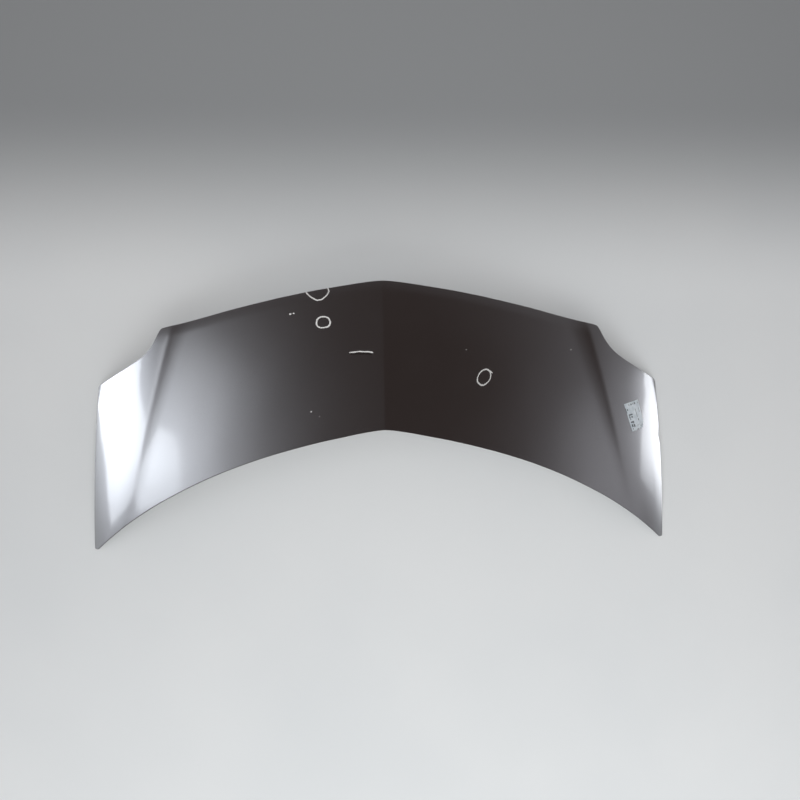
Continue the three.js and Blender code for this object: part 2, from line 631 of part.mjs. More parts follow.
// ------------------------------------------------------------------ assembly
const paint = { color: 0x33302f, roughness: 0.3, metalness: 0.7 };
const inside = { color: 0x3b393a, roughness: 0.55, metalness: 0.4 };
const zinc = { color: 0xa9a8a2, roughness: 0.4, metalness: 0.9 };
const primed = { color: 0x4a4a4b, roughness: 0.6, metalness: 0.3 };
const rubber = { color: 0x161616, roughness: 0.85, metalness: 0 };
const putty = { color: 0x2a2825, roughness: 0.9, metalness: 0 };
const plastic = { color: 0x1d1e20, roughness: 0.6, metalness: 0 };
const paper = { color: 0xc3cace, roughness: 0.7, metalness: 0 };

const bonnet = new THREE.Group();
const panel = new THREE.Group();
panel.position.y = CENTRE_Y;
bonnet.add(panel);
function add(name, geometry, material, matrix) {
  const mesh = new THREE.Mesh(geometry, new THREE.MeshStandardMaterial({ ...material, side: THREE.DoubleSide }));
  mesh.name = name;
  if (matrix) matrix.decompose(mesh.position, mesh.quaternion, mesh.scale);
  panel.add(mesh);
  return mesh;
}
const skin = add("outer_skin", outerSkin(), paint);
const inner = add("inner_panel", innerPanel(), inside);
// A piece seated under the inner panel's floor, its z pointing down.
function seatUnder(name, geometry, material, [x, y], r) {
  const depth = Math.max(...hits(inner, x, y, r).map((d) => d.far)) + 1.3 * SEAT_GAP;
  add(name, geometry, material, seated(x, y, depth, true));
}
for (const [side, sign] of [["left", -1], ["right", 1]]) {
  const [hx, hy] = [sign * HINGE_MID[0], HINGE_MID[1]];
  add("hinge_reinforcement_" + side, hingeBacking(sign), primed, moved(hx, hy, HINGE_Z + SEAT_GAP));
  HINGE_BOLTS.forEach(([x, y], k) =>
    add("hinge_nut_" + side + (k ? "_rear" : "_front"), weldNut(4.3, 13, 7), zinc, moved(sign * x, y, HINGE_Z + BACKING_T + 2 * SEAT_GAP)),
  );
  add("lock_nut_" + side, weldNut(3.4, 10, 5.5), zinc, moved(sign * STRIKER_BOLT_X, LOCK_Y, LOCK_Z + BACKING_T + 2 * SEAT_GAP));
  add("striker_bolt_" + side, flangeBolt(3, 10, 15), zinc, moved(sign * STRIKER_BOLT_X, LOCK_Y, LOCK_Z - INNER_T - PLATE_T - 2 * SEAT_GAP));
  for (const [where, c, row] of BUFFERS) seatUnder("buffer_" + where + "_" + side, buffer(), rubber, point(c, row, sign), 11.5);
  for (const [where, c, share] of MASTIC) {
    const [x, y] = point(c, share, sign);
    const top = Math.max(...hits(skin, x, y, MASTIC_R + 1).map((d) => d.far)) + SEAT_GAP;
    const low = Math.min(...hits(inner, x, y, MASTIC_R + 1).map((d) => d.near)) - 1.5 * SEAT_GAP;
    const t = low - top;
    const dab = turned([[0, 0], [MASTIC_R - 1, 0], [MASTIC_R, 1.2], [MASTIC_R, t - 1.2], [MASTIC_R - 1, t], [0, t]], 10);
    add("mastic_" + where + "_" + side, dab, putty, seated(x, y, top, true));
  }
}
add("lock_reinforcement", lockBacking(), primed, moved(0, LOCK_Y, LOCK_Z + SEAT_GAP));
add("striker_plate", strikerPlate(), zinc, moved(0, LOCK_Y, LOCK_Z - INNER_T - SEAT_GAP));
add("striker_loop", strikerLoop(), zinc, moved(0, LOCK_Y, LOCK_Z));
seatUnder("stay_socket", socket(), plastic, point(...STAY, 1), 11.5);
add("stock_label", label(), paper);

export default bonnet;
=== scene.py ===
import math

import bpy
import numpy as np
from mathutils import Matrix, Vector

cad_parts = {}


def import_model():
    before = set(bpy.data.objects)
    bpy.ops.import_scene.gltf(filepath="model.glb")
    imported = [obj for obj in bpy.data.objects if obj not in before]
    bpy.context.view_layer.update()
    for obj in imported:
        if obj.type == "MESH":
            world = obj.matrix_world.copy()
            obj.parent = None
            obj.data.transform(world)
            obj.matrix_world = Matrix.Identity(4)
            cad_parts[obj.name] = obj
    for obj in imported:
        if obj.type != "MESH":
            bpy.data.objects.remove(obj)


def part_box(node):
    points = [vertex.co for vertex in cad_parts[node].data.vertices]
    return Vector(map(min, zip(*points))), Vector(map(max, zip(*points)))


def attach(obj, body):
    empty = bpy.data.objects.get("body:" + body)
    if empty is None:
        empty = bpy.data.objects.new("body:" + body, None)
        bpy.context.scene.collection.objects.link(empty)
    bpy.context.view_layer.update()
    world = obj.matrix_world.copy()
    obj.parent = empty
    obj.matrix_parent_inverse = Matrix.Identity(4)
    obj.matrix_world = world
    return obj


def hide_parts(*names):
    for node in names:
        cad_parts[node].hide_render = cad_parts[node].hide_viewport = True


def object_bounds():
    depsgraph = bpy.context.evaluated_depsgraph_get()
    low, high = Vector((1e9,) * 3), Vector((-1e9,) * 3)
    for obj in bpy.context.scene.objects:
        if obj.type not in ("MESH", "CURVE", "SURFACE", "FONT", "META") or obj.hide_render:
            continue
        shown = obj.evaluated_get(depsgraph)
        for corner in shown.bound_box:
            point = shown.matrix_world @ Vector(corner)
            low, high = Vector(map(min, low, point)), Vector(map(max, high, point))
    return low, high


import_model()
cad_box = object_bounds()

M = 0.001  # the shape below is worked out in millimetres
scene = bpy.context.scene

# ------------------------------------------------------------------ dimensions
SKIN_T = 0.75
INNER_T = 0.65
HEM_GAP = 0.3
HEM_W = 11.0
HEM_R = (2 * SKIN_T + INNER_T + 2 * HEM_GAP) / 2
RIDGE_Z = 209.94
TILT = -0.0043
CENTRE_Y = -0.75
CREASE_X, CREASE_Y, CREASE_LEAN = 540.0, 243.0, 0.2495
SIDE_X, SIDE_Y, SIDE_LEAN = 760.0, 90.0, 0.0405
ROOF_SLOPE, CROWN, CROWN_X, CROWN_P = 0.06, 0.3, 600.0, 1.4
LONG_R, LONG_Y = 1800.0, -123.0
LIP_H, WING_SLOPE, NOSE_W, NOSE_R = 8.0, 0.82, 30.0, 90.0
FLANGE, WALL, FLOOR_END = 13.0, 7.0, 68.0
CHANNEL, CHANNEL_WING, CHANNEL_SIDE, WEB = 24.0, 16.0, 12.0, 7.0
INNER_EDGE = 2.0
SIDE_BAND = FLOOR_END + WALL
HINGE_SEAT = (0.86, 0.93)
HINGE_Z = 64.0
HINGE_PITCH = 28.0
LOCK_SEAT = 0.12
LOCK_Z = 124.5
LOCK_Y = 300.0

FRONT = [
    (0, 347.6), (15, 346.9), (45, 343.8), (75, 339.6), (106, 334.8), (136, 330.2), (167, 325.2), (197, 320),
    (228, 314), (259, 308), (290, 301.2), (321, 294.5), (352, 287.6), (384, 280.3), (416, 272.5), (449, 264.3),
    (482, 256.5), (514, 249), (540, 243.4), (562, 239), (569, 237), (573.5, 233), (577, 226), (583, 213),
    (594, 193.5), (606, 178.3), (623, 162.6), (647, 147.3), (675, 132.4), (704, 118.2), (736, 102.6), (752, 95),
    (757.5, 91.3), (760.1, 85.5),
]
REAR = [
    (0, -27.3), (14, -28.2), (44, -32.5), (73, -37.8), (102, -43.8), (132, -49.9), (162, -56.4), (191, -63.3),
    (221, -71), (251, -79.2), (282, -88), (312, -97.3), (343, -107.6), (374, -118.7), (406, -131), (438, -144.3),
    (471, -159), (504, -174.9), (538, -192.3), (573, -211), (608, -231.6), (645, -255.2), (682, -281), (723, -312),
    (752, -335.4), (765, -346), (771, -348.6), (775.3, -347.2), (777.5, -341.8),
]


# --------------------------------------------------------------------- surface
def smooth_line(points, steps=6):
    """The centripetal curve through the outline's points."""
    p = np.array(points, float)
    n = len(p)
    e = np.vstack([2 * p[0] - p[1], p, 2 * p[-1] - p[-2]])
    out = []
    total = n * steps
    for k in range(total + 1):
        t = (n - 1) * k / total
        i = min(int(math.floor(t)), n - 2)
        w = t - i
        p0, p1, p2, p3 = e[i : i + 4]
        d0, d1, d2 = (np.sum((a - b) ** 2) ** 0.25 for a, b in ((p0, p1), (p1, p2), (p2, p3)))
        t1 = ((p1 - p0) / d0 - (p2 - p0) / (d0 + d1) + (p2 - p1) / d1) * d1
        t2 = ((p2 - p1) / d1 - (p3 - p1) / (d1 + d2) + (p3 - p2) / d2) * d1
        out.append(p1 + t1 * w + (-3 * p1 + 3 * p2 - 2 * t1 - t2) * w * w + (2 * p1 - 2 * p2 + t1 + t2) * w**3)
    return np.array(out)


front_line = smooth_line(FRONT)
rear_line = smooth_line(REAR)
mirror = lambda a: np.vstack([(a[1:] * [-1, 1])[::-1], a])
FRONT_LINE = mirror(front_line)
REAR_LINE = mirror(rear_line)


def crease_x(y):
    return CREASE_X + CREASE_LEAN * (CREASE_Y - y)


def side_x(y):
    return SIDE_X + SIDE_LEAN * (SIDE_Y - y)


def front_y(x):
    return np.where(x > 562, 239 - 0.2 * (x - 562), np.interp(x, front_line[:, 0], front_line[:, 1]))


def plain_height(xs, y):
    """Height of the painted surface, with sharp creases."""
    x = np.abs(xs)
    c = crease_x(y)
    drop = lambda v: ROOF_SLOPE * v + CROWN / (CROWN_P + 1) * v * (v / CROWN_X) ** CROWN_P
    slope = lambda v: ROOF_SLOPE + CROWN * (v / CROWN_X) ** CROWN_P
    lip_h = np.clip(LIP_H * (y + 303) / 556, 0, 8.5)
    lip_w = np.clip(28 + 30 * (y + 250) / 503, 25, 60)
    t = np.clip(1 - (c - x) / lip_w, 0, 1)
    z_main = -drop(x) + lip_h * t * t
    w = side_x(y) - c
    q = np.minimum((x - c) / w, 1.5)
    s0 = slope(c) - 0.06
    z_wing = -drop(c) + lip_h - w * (s0 * q + (WING_SLOPE - s0) * q * q / 2)
    nose = np.clip(NOSE_W - (front_y(x) - y), 0, NOSE_W + 4)
    return (
        RIDGE_Z + np.where(x <= c, z_main, z_wing) - (y - LONG_Y) ** 2 / (2 * LONG_R)
        - nose**2 / (2 * NOSE_R) + TILT * y
    )


KERNEL = [(-1.0, 0.06), (-0.66, 0.16), (-0.33, 0.18), (0.0, 0.2), (0.33, 0.18), (0.66, 0.16), (1.0, 0.06)]
CREASE_SOFT = 7.0  # half width over which a pressed side crease is rounded
RIDGE_SOFT = 2.6  # the same for the centre ridge


def height(x, y):
    """The same with each crease rounded as a press leaves it."""
    x = np.asarray(x, float)
    y = np.asarray(y, float)
    z = 0.0
    t = np.clip((np.abs(x) - 40) / 160, 0, 1)
    soft = RIDGE_SOFT + (CREASE_SOFT - RIDGE_SOFT) * t * t * (3 - 2 * t)
    for k, w in KERNEL:
        z = z + w * plain_height(x + k * soft, y)
    # a light knock in the +X side edge, and the faint sag and ripple of thin sheet
    z = z - 1.6 * np.exp(-(((y + 62) / 17) ** 2) - (((x - 764) / 15) ** 2))
    z = z + 0.10 * np.sin(x / 61.0 + 1.3) * np.sin(y / 47.0 + 0.4) + 0.07 * np.sin(x / 33.0 - y / 39.0)
    return z


def edge_shift(x, y):
    """Where the +X side edge is knocked inwards."""
    return -3.2 * np.exp(-(((y + 62) / 13) ** 2)) * np.exp(-np.maximum(764 - x, 0) / 12.0) * (x > 600)


def normals(x, y, e=0.8):
    nx = -(height(x + e, y) - height(x - e, y)) / (2 * e)
    ny = -(height(x, y + e) - height(x, y - e)) / (2 * e)
    n = np.stack([nx, ny, np.ones_like(nx)], -1)
    return n / np.linalg.norm(n, axis=-1, keepdims=True)


def under(x, y, d):
    """Points at depth d under the painted surface, measured square to it."""
    x = np.asarray(x, float)
    y = np.asarray(y, float)
    p = np.stack([x, y, height(x, y)], -1)
    return p - normals(x, y) * np.asarray(d, float)[..., None]


# ------------------------------------------------------------- the panel's grid
# A column is (kind, value): "s" is a share, 0 to 1 from the middle to the side
# crease and 1 to 2 on to SIDE_BAND inside the side edge; "d" is a distance
# inside the side edge.
def column_x(kind, v, y):
    share = np.where(v <= 1, v * crease_x(y), crease_x(y) + (v - 1) * (side_x(y) - SIDE_BAND - crease_x(y)))
    return np.where(kind == 1, side_x(y) - v, share)


def to_line(line, x, y):
    a = line[:-1]
    d = line[1:] - a
    l2 = np.maximum((d**2).sum(1), 1e-12)
    px = x[:, None] - a[None, :, 0]
    py = y[:, None] - a[None, :, 1]
    t = np.clip((px * d[:, 0] + py * d[:, 1]) / l2, 0, 1)
    return np.sqrt(((px - t * d[:, 0]) ** 2 + (py - t * d[:, 1]) ** 2).min(1))


def inset(kind, v, d, sign):
    """y at which each column is d inside the front (1) or rear (-1) outline."""
    line = FRONT_LINE if sign > 0 else REAR_LINE
    lo = np.full(len(v), 360.0 * sign)
    hi = np.full(len(v), -20.0 if sign > 0 else 90.0)
    for _ in range(34):
        m = (lo + hi) / 2
        x = column_x(kind, v, m)
        edge = np.interp(x, line[:, 0], line[:, 1])
        past = (m > edge) if sign > 0 else (m < edge)
        far = np.where(past, -1, 1) * to_line(line, x, m) - d
        inside = far > 0
        hi = np.where(inside, m, hi)
        lo = np.where(inside, lo, m)
    return (lo + hi) / 2


def row_y(kind, v, rows, band):
    """rows: ("r", d), ("f", d) or ("m", share between the two bands)."""
    base_r = inset(kind, v, band, -1)
    base_f = inset(kind, v, band, 1)
    out = []
    for k, d in rows:
        if k == "r":
            out.append(inset(kind, v, d, -1))
        elif k == "f":
            out.append(inset(kind, v, d, 1))
        else:
            out.append(base_r + d * (base_f - base_r))
    return np.stack(out, 1)


def spread(stops, steps):
    """Values between the stops, steps[i] of them in each interval."""
    out = []
    for a, b, n in zip(stops[:-1], stops[1:], steps):
        out += list(np.linspace(a, b, n, endpoint=False))
    return out + [stops[-1]]


def add_mesh(name, vertices, faces, smooth=True, inside_box=False):
    mesh = bpy.data.meshes.new(name)
    v = np.asarray(vertices, float)
    v = (v + [0, CENTRE_Y, 0]) * M
    if inside_box:
        v = np.clip(v, np.array(cad_box[0]), np.array(cad_box[1]))
    mesh.from_pydata(v.tolist(), [], [tuple(int(i) for i in f) for f in faces])
    mesh.validate()
    mesh.update()
    if smooth:
        mesh.polygons.foreach_set("use_smooth", [True] * len(mesh.polygons))
    ob = bpy.data.objects.new(name, mesh)
    scene.collection.objects.link(ob)
    return ob


def shell(name, vertices, norms, faces, t):
    """A closed sheet of thickness t: the given face and its copy at depth t."""
    v = np.asarray(vertices, float)
    n = np.asarray(norms, float)
    n = n / np.linalg.norm(n, axis=1, keepdims=True)
    count = len(v)
    low = v - n * np.broadcast_to(t, len(v))[:, None]
    edges = {}
    for f in faces:
        for k in range(len(f)):
            edges[(f[k], f[(k + 1) % len(f)])] = True
    rim = [(a, b) for a, b in edges if (b, a) not in edges]
    every = list(faces) + [tuple(i + count for i in reversed(f)) for f in faces]
    every += [(b, a, a + count, b + count) for a, b in rim]
    return add_mesh(name, np.vstack([v, low]), every, inside_box=True)


# ------------------------------------------------------------------ outer skin
def skin_columns():
    """The +X half, from the middle outwards."""
    main = [0, 1.6, 3.4, 5.6, 8.5, 12.5, 18, 25]
    x = 32.0
    while x < 470:
        main.append(x)
        x += 7.2
    while x < 524:
        main.append(x)
        x += 4.5
    main += [526, 529, 532, 534.5, 536.5, 538.2]
    cols = [("s", v / 540) for v in main] + [("s", 1.0)]
    wing = [0.012, 0.026, 0.043, 0.065, 0.09, 0.12, 0.145, 0.17, 0.19, 0.205, 0.217, 0.228, 0.24, 0.255, 0.275, 0.3]
    v = 0.34
    while v < 0.97:
        wing.append(v)
        v += 0.042
    cols += [("s", 1 + w) for w in wing] + [("s", 2.0)]
    cols += [("d", d) for d in (70, 64, 58, 52, 46, 40, 34, 29, 24, 20, 16.5, 13.5, 11, 8.5, 6, 4, 2.6, 1.375)]
    return cols


def both_sides(cols):
    kind = np.array([1 if k == "d" else 0 for k, _ in cols])
    v = np.array([q for _, q in cols], float)
    return kind, v


def outer_skin():
    kind, v = both_sides(skin_columns())
    rows = [("r", d) for d in (HEM_R, 2.6, 4, 6, 8.5, 11, 14, 18, 23, 29, 36, 44, 52, 60, 68, 75)]
    rows += [("m", s) for s in np.linspace(0, 1, 34)[1:-1]]
    rows += [("f", d) for d in (75, 68, 61, 54, 47, 41, 35.5, 31, 28, 25, 22, 19, 16, 13, 10.5, 8, 5.8, 4, 2.6, HEM_R)]
    half = row_y(kind, v, rows, SIDE_BAND)
    hx = column_x(kind[:, None], v[:, None], half)
    x = np.vstack([-hx[:0:-1], hx])
    y = np.vstack([half[:0:-1], half])
    nc, nr = x.shape
    shift = edge_shift(x, y)
    px = x + shift
    p = np.stack([px, y, height(px, y)], -1).reshape(-1, 3)
    n = normals(px, y).reshape(-1, 3)
    index = np.arange(nc * nr).reshape(nc, nr)
    faces = [
        (index[i, j], index[i + 1, j], index[i + 1, j + 1], index[i, j + 1]) for i in range(nc - 1) for j in range(nr - 1)
    ]
    # The hem, all the way round. Its flange narrows to nothing at each corner,
    # as the relief cuts of a folded edge leave it.
    loop = list(index[:, 0]) + list(index[-1, 1:]) + list(index[:-1, -1][::-1]) + list(index[0, 1:-1][::-1])
    pts = p[loop]
    m = len(loop)
    nxt = np.roll(pts, -1, 0)
    prv = np.roll(pts, 1, 0)
    tang = nxt - prv
    tang[:, 2] = 0
    tang /= np.linalg.norm(tang, axis=1, keepdims=True)
    out = np.stack([tang[:, 1], -tang[:, 0], np.zeros(m)], 1)
    s = np.r_[0, np.cumsum(np.linalg.norm(nxt - pts, axis=1))]
    length = s[-1]
    s = s[:-1]
    corner_xy = [(776, -345), (-776, -345), (758.5, 89), (-758.5, 89), (571, 234), (-571, 234)]
    width = np.full(m, HEM_W - HEM_R)
    fold = np.full(m, HEM_R)
    for cx, cy in corner_xy:
        k = np.argmin((pts[:, 0] - cx) ** 2 + (pts[:, 1] - cy) ** 2)
        ds = np.abs(s - s[k])
        ds = np.minimum(ds, length - ds)
        width = np.minimum(width, np.maximum(0.9 * ds - 2.0, 0.5))
        near = np.clip((ds - 1.5) / 16, 0, 1)
        fold = np.minimum(fold, 0.42 + (HEM_R - 0.42) * near * near * (3 - 2 * near))
    nn = n[loop]
    o3 = out - nn * (out * nn).sum(1, keepdims=True)
    o3 /= np.linalg.norm(o3, axis=1, keepdims=True)
    centre = pts - nn * fold[:, None]
    rings = [np.array(loop)]
    verts = [p]
    norms = [n]
    base = len(p)
    for a in np.radians([26, 52, 78, 104, 130, 155, 180]):
        d = nn * math.cos(a) + o3 * math.sin(a)
        verts.append(centre + d * fold[:, None])
        norms.append(d)
        rings.append(base + np.arange(m))
        base += m
    for share in (0.5, 1.0):
        ex = pts[:, 0] - out[:, 0] * width * share
        ey = pts[:, 1] - out[:, 1] * width * share
        verts.append(under(ex, ey, 2 * fold))
        norms.append(-normals(ex, ey))
        rings.append(base + np.arange(m))
        base += m
    for a, b in zip(rings[:-1], rings[1:]):
        for k in range(m):
            q = (k + 1) % m
            faces.append((a[q], a[k], b[k], b[q]))
    thick = np.full(len(p), SKIN_T)
    thick[loop] = np.minimum(SKIN_T, 0.85 * fold)
    thick = np.concatenate([thick] + [np.minimum(SKIN_T, 0.85 * fold)] * (len(verts) - 1))
    return shell("bonnet_skin", np.vstack(verts), np.vstack(norms), faces, thick)


skin = outer_skin()
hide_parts("outer_skin")
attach(skin, "root")


# ----------------------------------------------------------------- inner panel
RIBS = [(-1.0, 0.06), (0.31, 0.37), (0.63, 0.69), (0.965, 1.12)]
RIB_WALLS = [(0.06, 0.08), (0.29, 0.31), (0.37, 0.39), (0.61, 0.63), (0.69, 0.71), (0.93, 0.965), (1.12, 1.2)]
# Lightening holes in the webs: column, share, width, length, turn
WEB_HOLES = [
    (0.185, 0.25, 58, 62, -0.12), (0.185, 0.76, 58, 62, -0.12), (0.5, 0.25, 64, 66, -0.2),
    (0.5, 0.76, 66, 68, -0.2), (0.8, 0.25, 48, 70, -0.22), (0.8, 0.76, 48, 74, -0.22),
]
FLOOR_HOLES = [
    (0.25, "f", 11), (0.5, "f", 13), (0.82, "f", 11), (0.2, "r", 13), (0.5, "r", 11), (0.75, "r", 13),
]


def step(v, lo, hi):
    t = np.clip((v - lo) / (hi - lo), 0, 1)
    return t * t * (3 - 2 * t)


def point(column, row, sign=1):
    """Plan position of a column ("s" or "d", value) and a row."""
    kind, v = both_sides([column])
    y = row_y(kind, v, [row], SIDE_BAND)[0, 0]
    x = float(column_x(kind, v, np.array([y]))[0])
    return sign * x, float(y)


def inner_columns():
    stops = [0, 0.06, 0.08, 0.12, 0.14, 0.29, 0.31, 0.37, 0.39, 0.61, 0.63, 0.69, 0.71, 0.835, 0.86, 0.93, 0.965, 1.0]
    cols = []
    for a, b in zip(stops[:-1], stops[1:]):
        wall = (a, b) in RIB_WALLS or (a, b) in ((0.12, 0.14), (0.835, 0.86))
        n = 4 if wall else max(2, round((b - a) * 570 / 4.6))
        cols += [("s", c) for c in np.linspace(a, b, n, endpoint=False)]
    for a, b, n in ((1.0, 1.12, 4), (1.12, 1.2, 5), (1.2, 1.3, 4), (1.3, 2.0, 17)):
        cols += [("s", c) for c in np.linspace(a, b, n, endpoint=False)]
    cols += [("d", d) for d in (75, 73.2, 71.5, 69.8, 68, 64, 60, 56, 52, 48, 44, 40, 36, 32, 28, 24, 20)]
    cols += [("d", d) for d in (18.2, 16.5, 14.8, 13, 9.5, 5.5, 2.0)]
    return cols


def turn_down(d):
    """Flange, wall and channel from the distance to the edge."""
    return step(d, FLANGE, FLANGE + WALL)


def inner_panel():
    cols = inner_columns()
    kind, v = both_sides(cols)
    edge = (2.0, 5.5, 9.5, 13, 14.4, 15.8, 17.2, 18.6, 20, 24, 28, 32, 36, 40, 44, 48, 52, 56, 60, 64, 68, 69.8, 71.5, 73.2)
    rows = [("r", d) for d in edge] + [("m", s) for s in np.linspace(0, 1, 37)] + [("f", d) for d in edge[::-1]]
    half_y = row_y(kind, v, rows, SIDE_BAND)
    half_x = column_x(kind[:, None], v[:, None], half_y)
    # the four outer corners are cropped inside the hem
    across = np.where(kind == 1, v, 1e3)[:, None] * np.ones(len(rows))
    along = np.array([d if k != "m" else 1e3 for k, d in rows])[None, :] * np.ones((len(cols), 1))
    is_rear = np.array([k == "r" for k, _ in rows])[None, :] * np.ones((len(cols), 1), bool)
    is_front = np.array([k == "f" for k, _ in rows])[None, :] * np.ones((len(cols), 1), bool)
    c = np.where(kind == 1, 2.0, v)[:, None] * np.ones(len(rows))
    for i, j in ((-1, 0), (-1, -1)):
        half_x[i, j] -= 4.0
        half_y[i, j] += 4.0 if j == 0 else -4.0
    floor_share = np.maximum(1 - step(along, FLOOR_END, SIDE_BAND), 0)
    rib = np.zeros_like(c)
    walls = {0.06: 0.08, 0.31: 0.29, 0.37: 0.39, 0.63: 0.61, 0.69: 0.71, 0.965: 0.93, 1.12: 1.2}
    for a, b in RIBS:
        lo = 1.0 if a < 0 else step(c, walls[a], a)
        rib = np.maximum(rib, lo * (1 - step(c, b, walls[b])))
    channel = np.where(c <= 1, CHANNEL, CHANNEL + (CHANNEL_WING - CHANNEL) * (c - 1))
    depth = WEB + (channel - WEB) * np.maximum(floor_share, rib)
    side = CHANNEL_SIDE + (CHANNEL_WING - CHANNEL_SIDE) * (across - FLANGE - WALL) / (FLOOR_END - FLANGE - WALL)
    on_side = kind[:, None] * np.ones(len(rows)) == 1
    wall_side = 1 - step(across, FLOOR_END, SIDE_BAND)
    depth = np.where(on_side, depth + (np.minimum(side, CHANNEL_WING) - depth) * wall_side, depth)
    flange = SKIN_T + HEM_GAP
    depth = flange + (depth - flange) * turn_down(np.minimum(across, along))
    hinge = step(c, 0.835, 0.86) * (1 - step(c, 0.93, 0.965)) * ~on_side
    band = turn_down(along) * (1 - step(along, FLOOR_END, SIDE_BAND))
    seat_h = hinge * band * is_rear
    seat_l = (1 - step(c, LOCK_SEAT, 0.14)) * band * is_front
    # the side wall rises to the web between the bands, and the ring runs on
    x = np.vstack([-half_x[:0:-1], half_x])
    y = np.vstack([half_y[:0:-1], half_y])
    whole = lambda a: np.vstack([a[:0:-1], a])
    depth, seat_h, seat_l = whole(depth), whole(seat_h), whole(seat_l)
    # stiffening beads pressed into the webs and the side channel
    nc, nr = x.shape
    n = normals(x, y)
    p = np.stack([x, y, height(x, y)], -1) - n * depth[..., None]
    for w, z in ((seat_h, HINGE_Z), (seat_l, LOCK_Z)):
        flat = np.stack([x, y, np.full_like(x, z)], -1)
        p = p + (flat - p) * w[..., None]
        n = n + (np.array([0, 0, 1.0]) - n) * w[..., None]
    p = p.reshape(-1, 3)
    n = n.reshape(-1, 3)
    n /= np.linalg.norm(n, axis=1, keepdims=True)
    index = np.arange(nc * nr).reshape(nc, nr)
    quads = np.stack([index[:-1, :-1], index[1:, :-1], index[1:, 1:], index[:-1, 1:]], -1).reshape(-1, 4)
    # holes: (centre, half width, half length, corner radius, turn, rim depth)
    holes = []
    for sign in (1, -1):
        for cc, share, w, l, turn in WEB_HOLES:
            holes.append((point(("s", cc), ("m", share), sign), w / 2, l / 2, 0.42 * min(w, l), -turn * sign, 2.6))
        for cc, k, r in FLOOR_HOLES:
            holes.append((point(("s", cc), (k, 44), sign), r, r, r, 0.0, 1.4))
        for bx, by in HINGE_BOLTS:
            holes.append(((sign * bx, by), 4.5, 4.5, 4.5, 0.0, 0.0))
        holes.append((point(("s", 0.66), ("f", 44), sign), 4.4, 4.4, 4.4, 0.0, 0.0))
        holes.append((point(("d", 38), ("m", 0.62), sign), 4.4, 4.4, 4.4, 0.0, 0.0))
        holes.append(((sign * 28, LOCK_Y), 3.6, 3.6, 3.6, 0.0, 0.0))
    holes.append((point(("d", 38), ("m", 0.12), 1), 8.4, 8.4, 8.4, 0.0, 0.0))
    holes += [((0, LOCK_Y + d), 4.7, 4.7, 4.7, 0.0, 0.0) for d in (-13, 13)]
    alive = np.ones(len(quads), bool)
    extra_v, extra_n, extra_f = [], [], []
    total = len(p)
    for (hx, hy), hw, hl, hr, turn, rim in holes:
        ca, sa = math.cos(turn), math.sin(turn)

        def local(q):
            dx, dy = q[:, 0] - hx, q[:, 1] - hy
            return dx * ca + dy * sa, -dx * sa + dy * ca

        def signed(q):
            lx, ly = local(q)
            ax, ay = np.abs(lx) - (hw - hr), np.abs(ly) - (hl - hr)
            return np.hypot(np.maximum(ax, 0), np.maximum(ay, 0)) + np.minimum(np.maximum(ax, ay), 0) - hr

        near = np.where(np.hypot(p[:, 0] - hx, p[:, 1] - hy) < math.hypot(hw, hl) + 12)[0]
        s = signed(p[near])
        spacing = 2.0
        inside = np.zeros(len(p), bool)
        inside[near[s < -0.3 * spacing if hw > 6 else s < -0.15 * hw]] = True
        if not inside.any():
            inside[near[np.argmin(s)]] = True
        gone = inside[quads].any(1) & alive
        alive &= ~gone
        ring = {}
        for q in quads[gone]:
            for k in range(4):
                a, b = int(q[k]), int(q[(k + 1) % 4])
                if (b, a) in ring:
                    del ring[(b, a)]
                else:
                    ring[(a, b)] = True
        follow = {a: b for a, b in ring}
        start = next(iter(follow))
        loop = [start]
        while follow[loop[-1]] != start:
            loop.append(follow[loop[-1]])
        loop = np.array(loop)
        # the rim's vertices move onto the hole's outline
        q = p[loop].copy()
        for _ in range(4):
            e = 0.05
            s0 = signed(q)
            gx = (signed(q + [e, 0, 0]) - signed(q - [e, 0, 0])) / (2 * e)
            gy = (signed(q + [0, e, 0]) - signed(q - [0, e, 0])) / (2 * e)
            q[:, 0] -= s0 * gx
            q[:, 1] -= s0 * gy
        dz = np.zeros(len(loop))
        nl = n[loop]
        q[:, 2] = p[loop][:, 2] - ((q[:, :2] - p[loop][:, :2]) * nl[:, :2]).sum(1) / nl[:, 2]
        p[loop] = q
        if rim:
            inward = np.stack([-gx, -gy, np.zeros(len(loop))], 1)
            inward -= nl * (inward * nl).sum(1, keepdims=True)
            inward /= np.linalg.norm(inward, axis=1, keepdims=True)
            rings = [loop]
            for a in np.radians([30, 60, 85]):
                extra_v.append(q + inward * (rim * 0.8) * math.sin(a) - nl * rim * (1 - math.cos(a)))
                extra_n.append(nl * math.cos(a) + inward * math.sin(a))
                rings.append(total + np.arange(len(loop)))
                total += len(loop)
            for a, b in zip(rings[:-1], rings[1:]):
                for k in range(len(loop)):
                    kk = (k + 1) % len(loop)
                    extra_f.append((a[k], a[kk], b[kk], b[k]))
    keep = [tuple(q) for q in quads[alive]] + extra_f
    allv = np.vstack([p] + extra_v)
    alln = np.vstack([n] + extra_n)
    used = np.unique(np.array(keep).ravel())
    back = np.full(len(allv), -1)
    back[used] = np.arange(len(used))
    return shell("bonnet_inner", allv[used], alln[used], [tuple(back[i] for i in f) for f in keep], INNER_T)


HINGE_MID = point(("s", (HINGE_SEAT[0] + HINGE_SEAT[1]) / 2), ("r", (FLANGE + WALL + FLOOR_END) / 2))
HINGE_BOLTS = [(HINGE_MID[0] - 3 * d, HINGE_MID[1] + d * HINGE_PITCH / 2) for d in (1, -1)]


def keep(ob, node, slot):
    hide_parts(node)
    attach(ob, "root")
    return ob


inner = keep(inner_panel(), "inner_panel", "inner_paint")


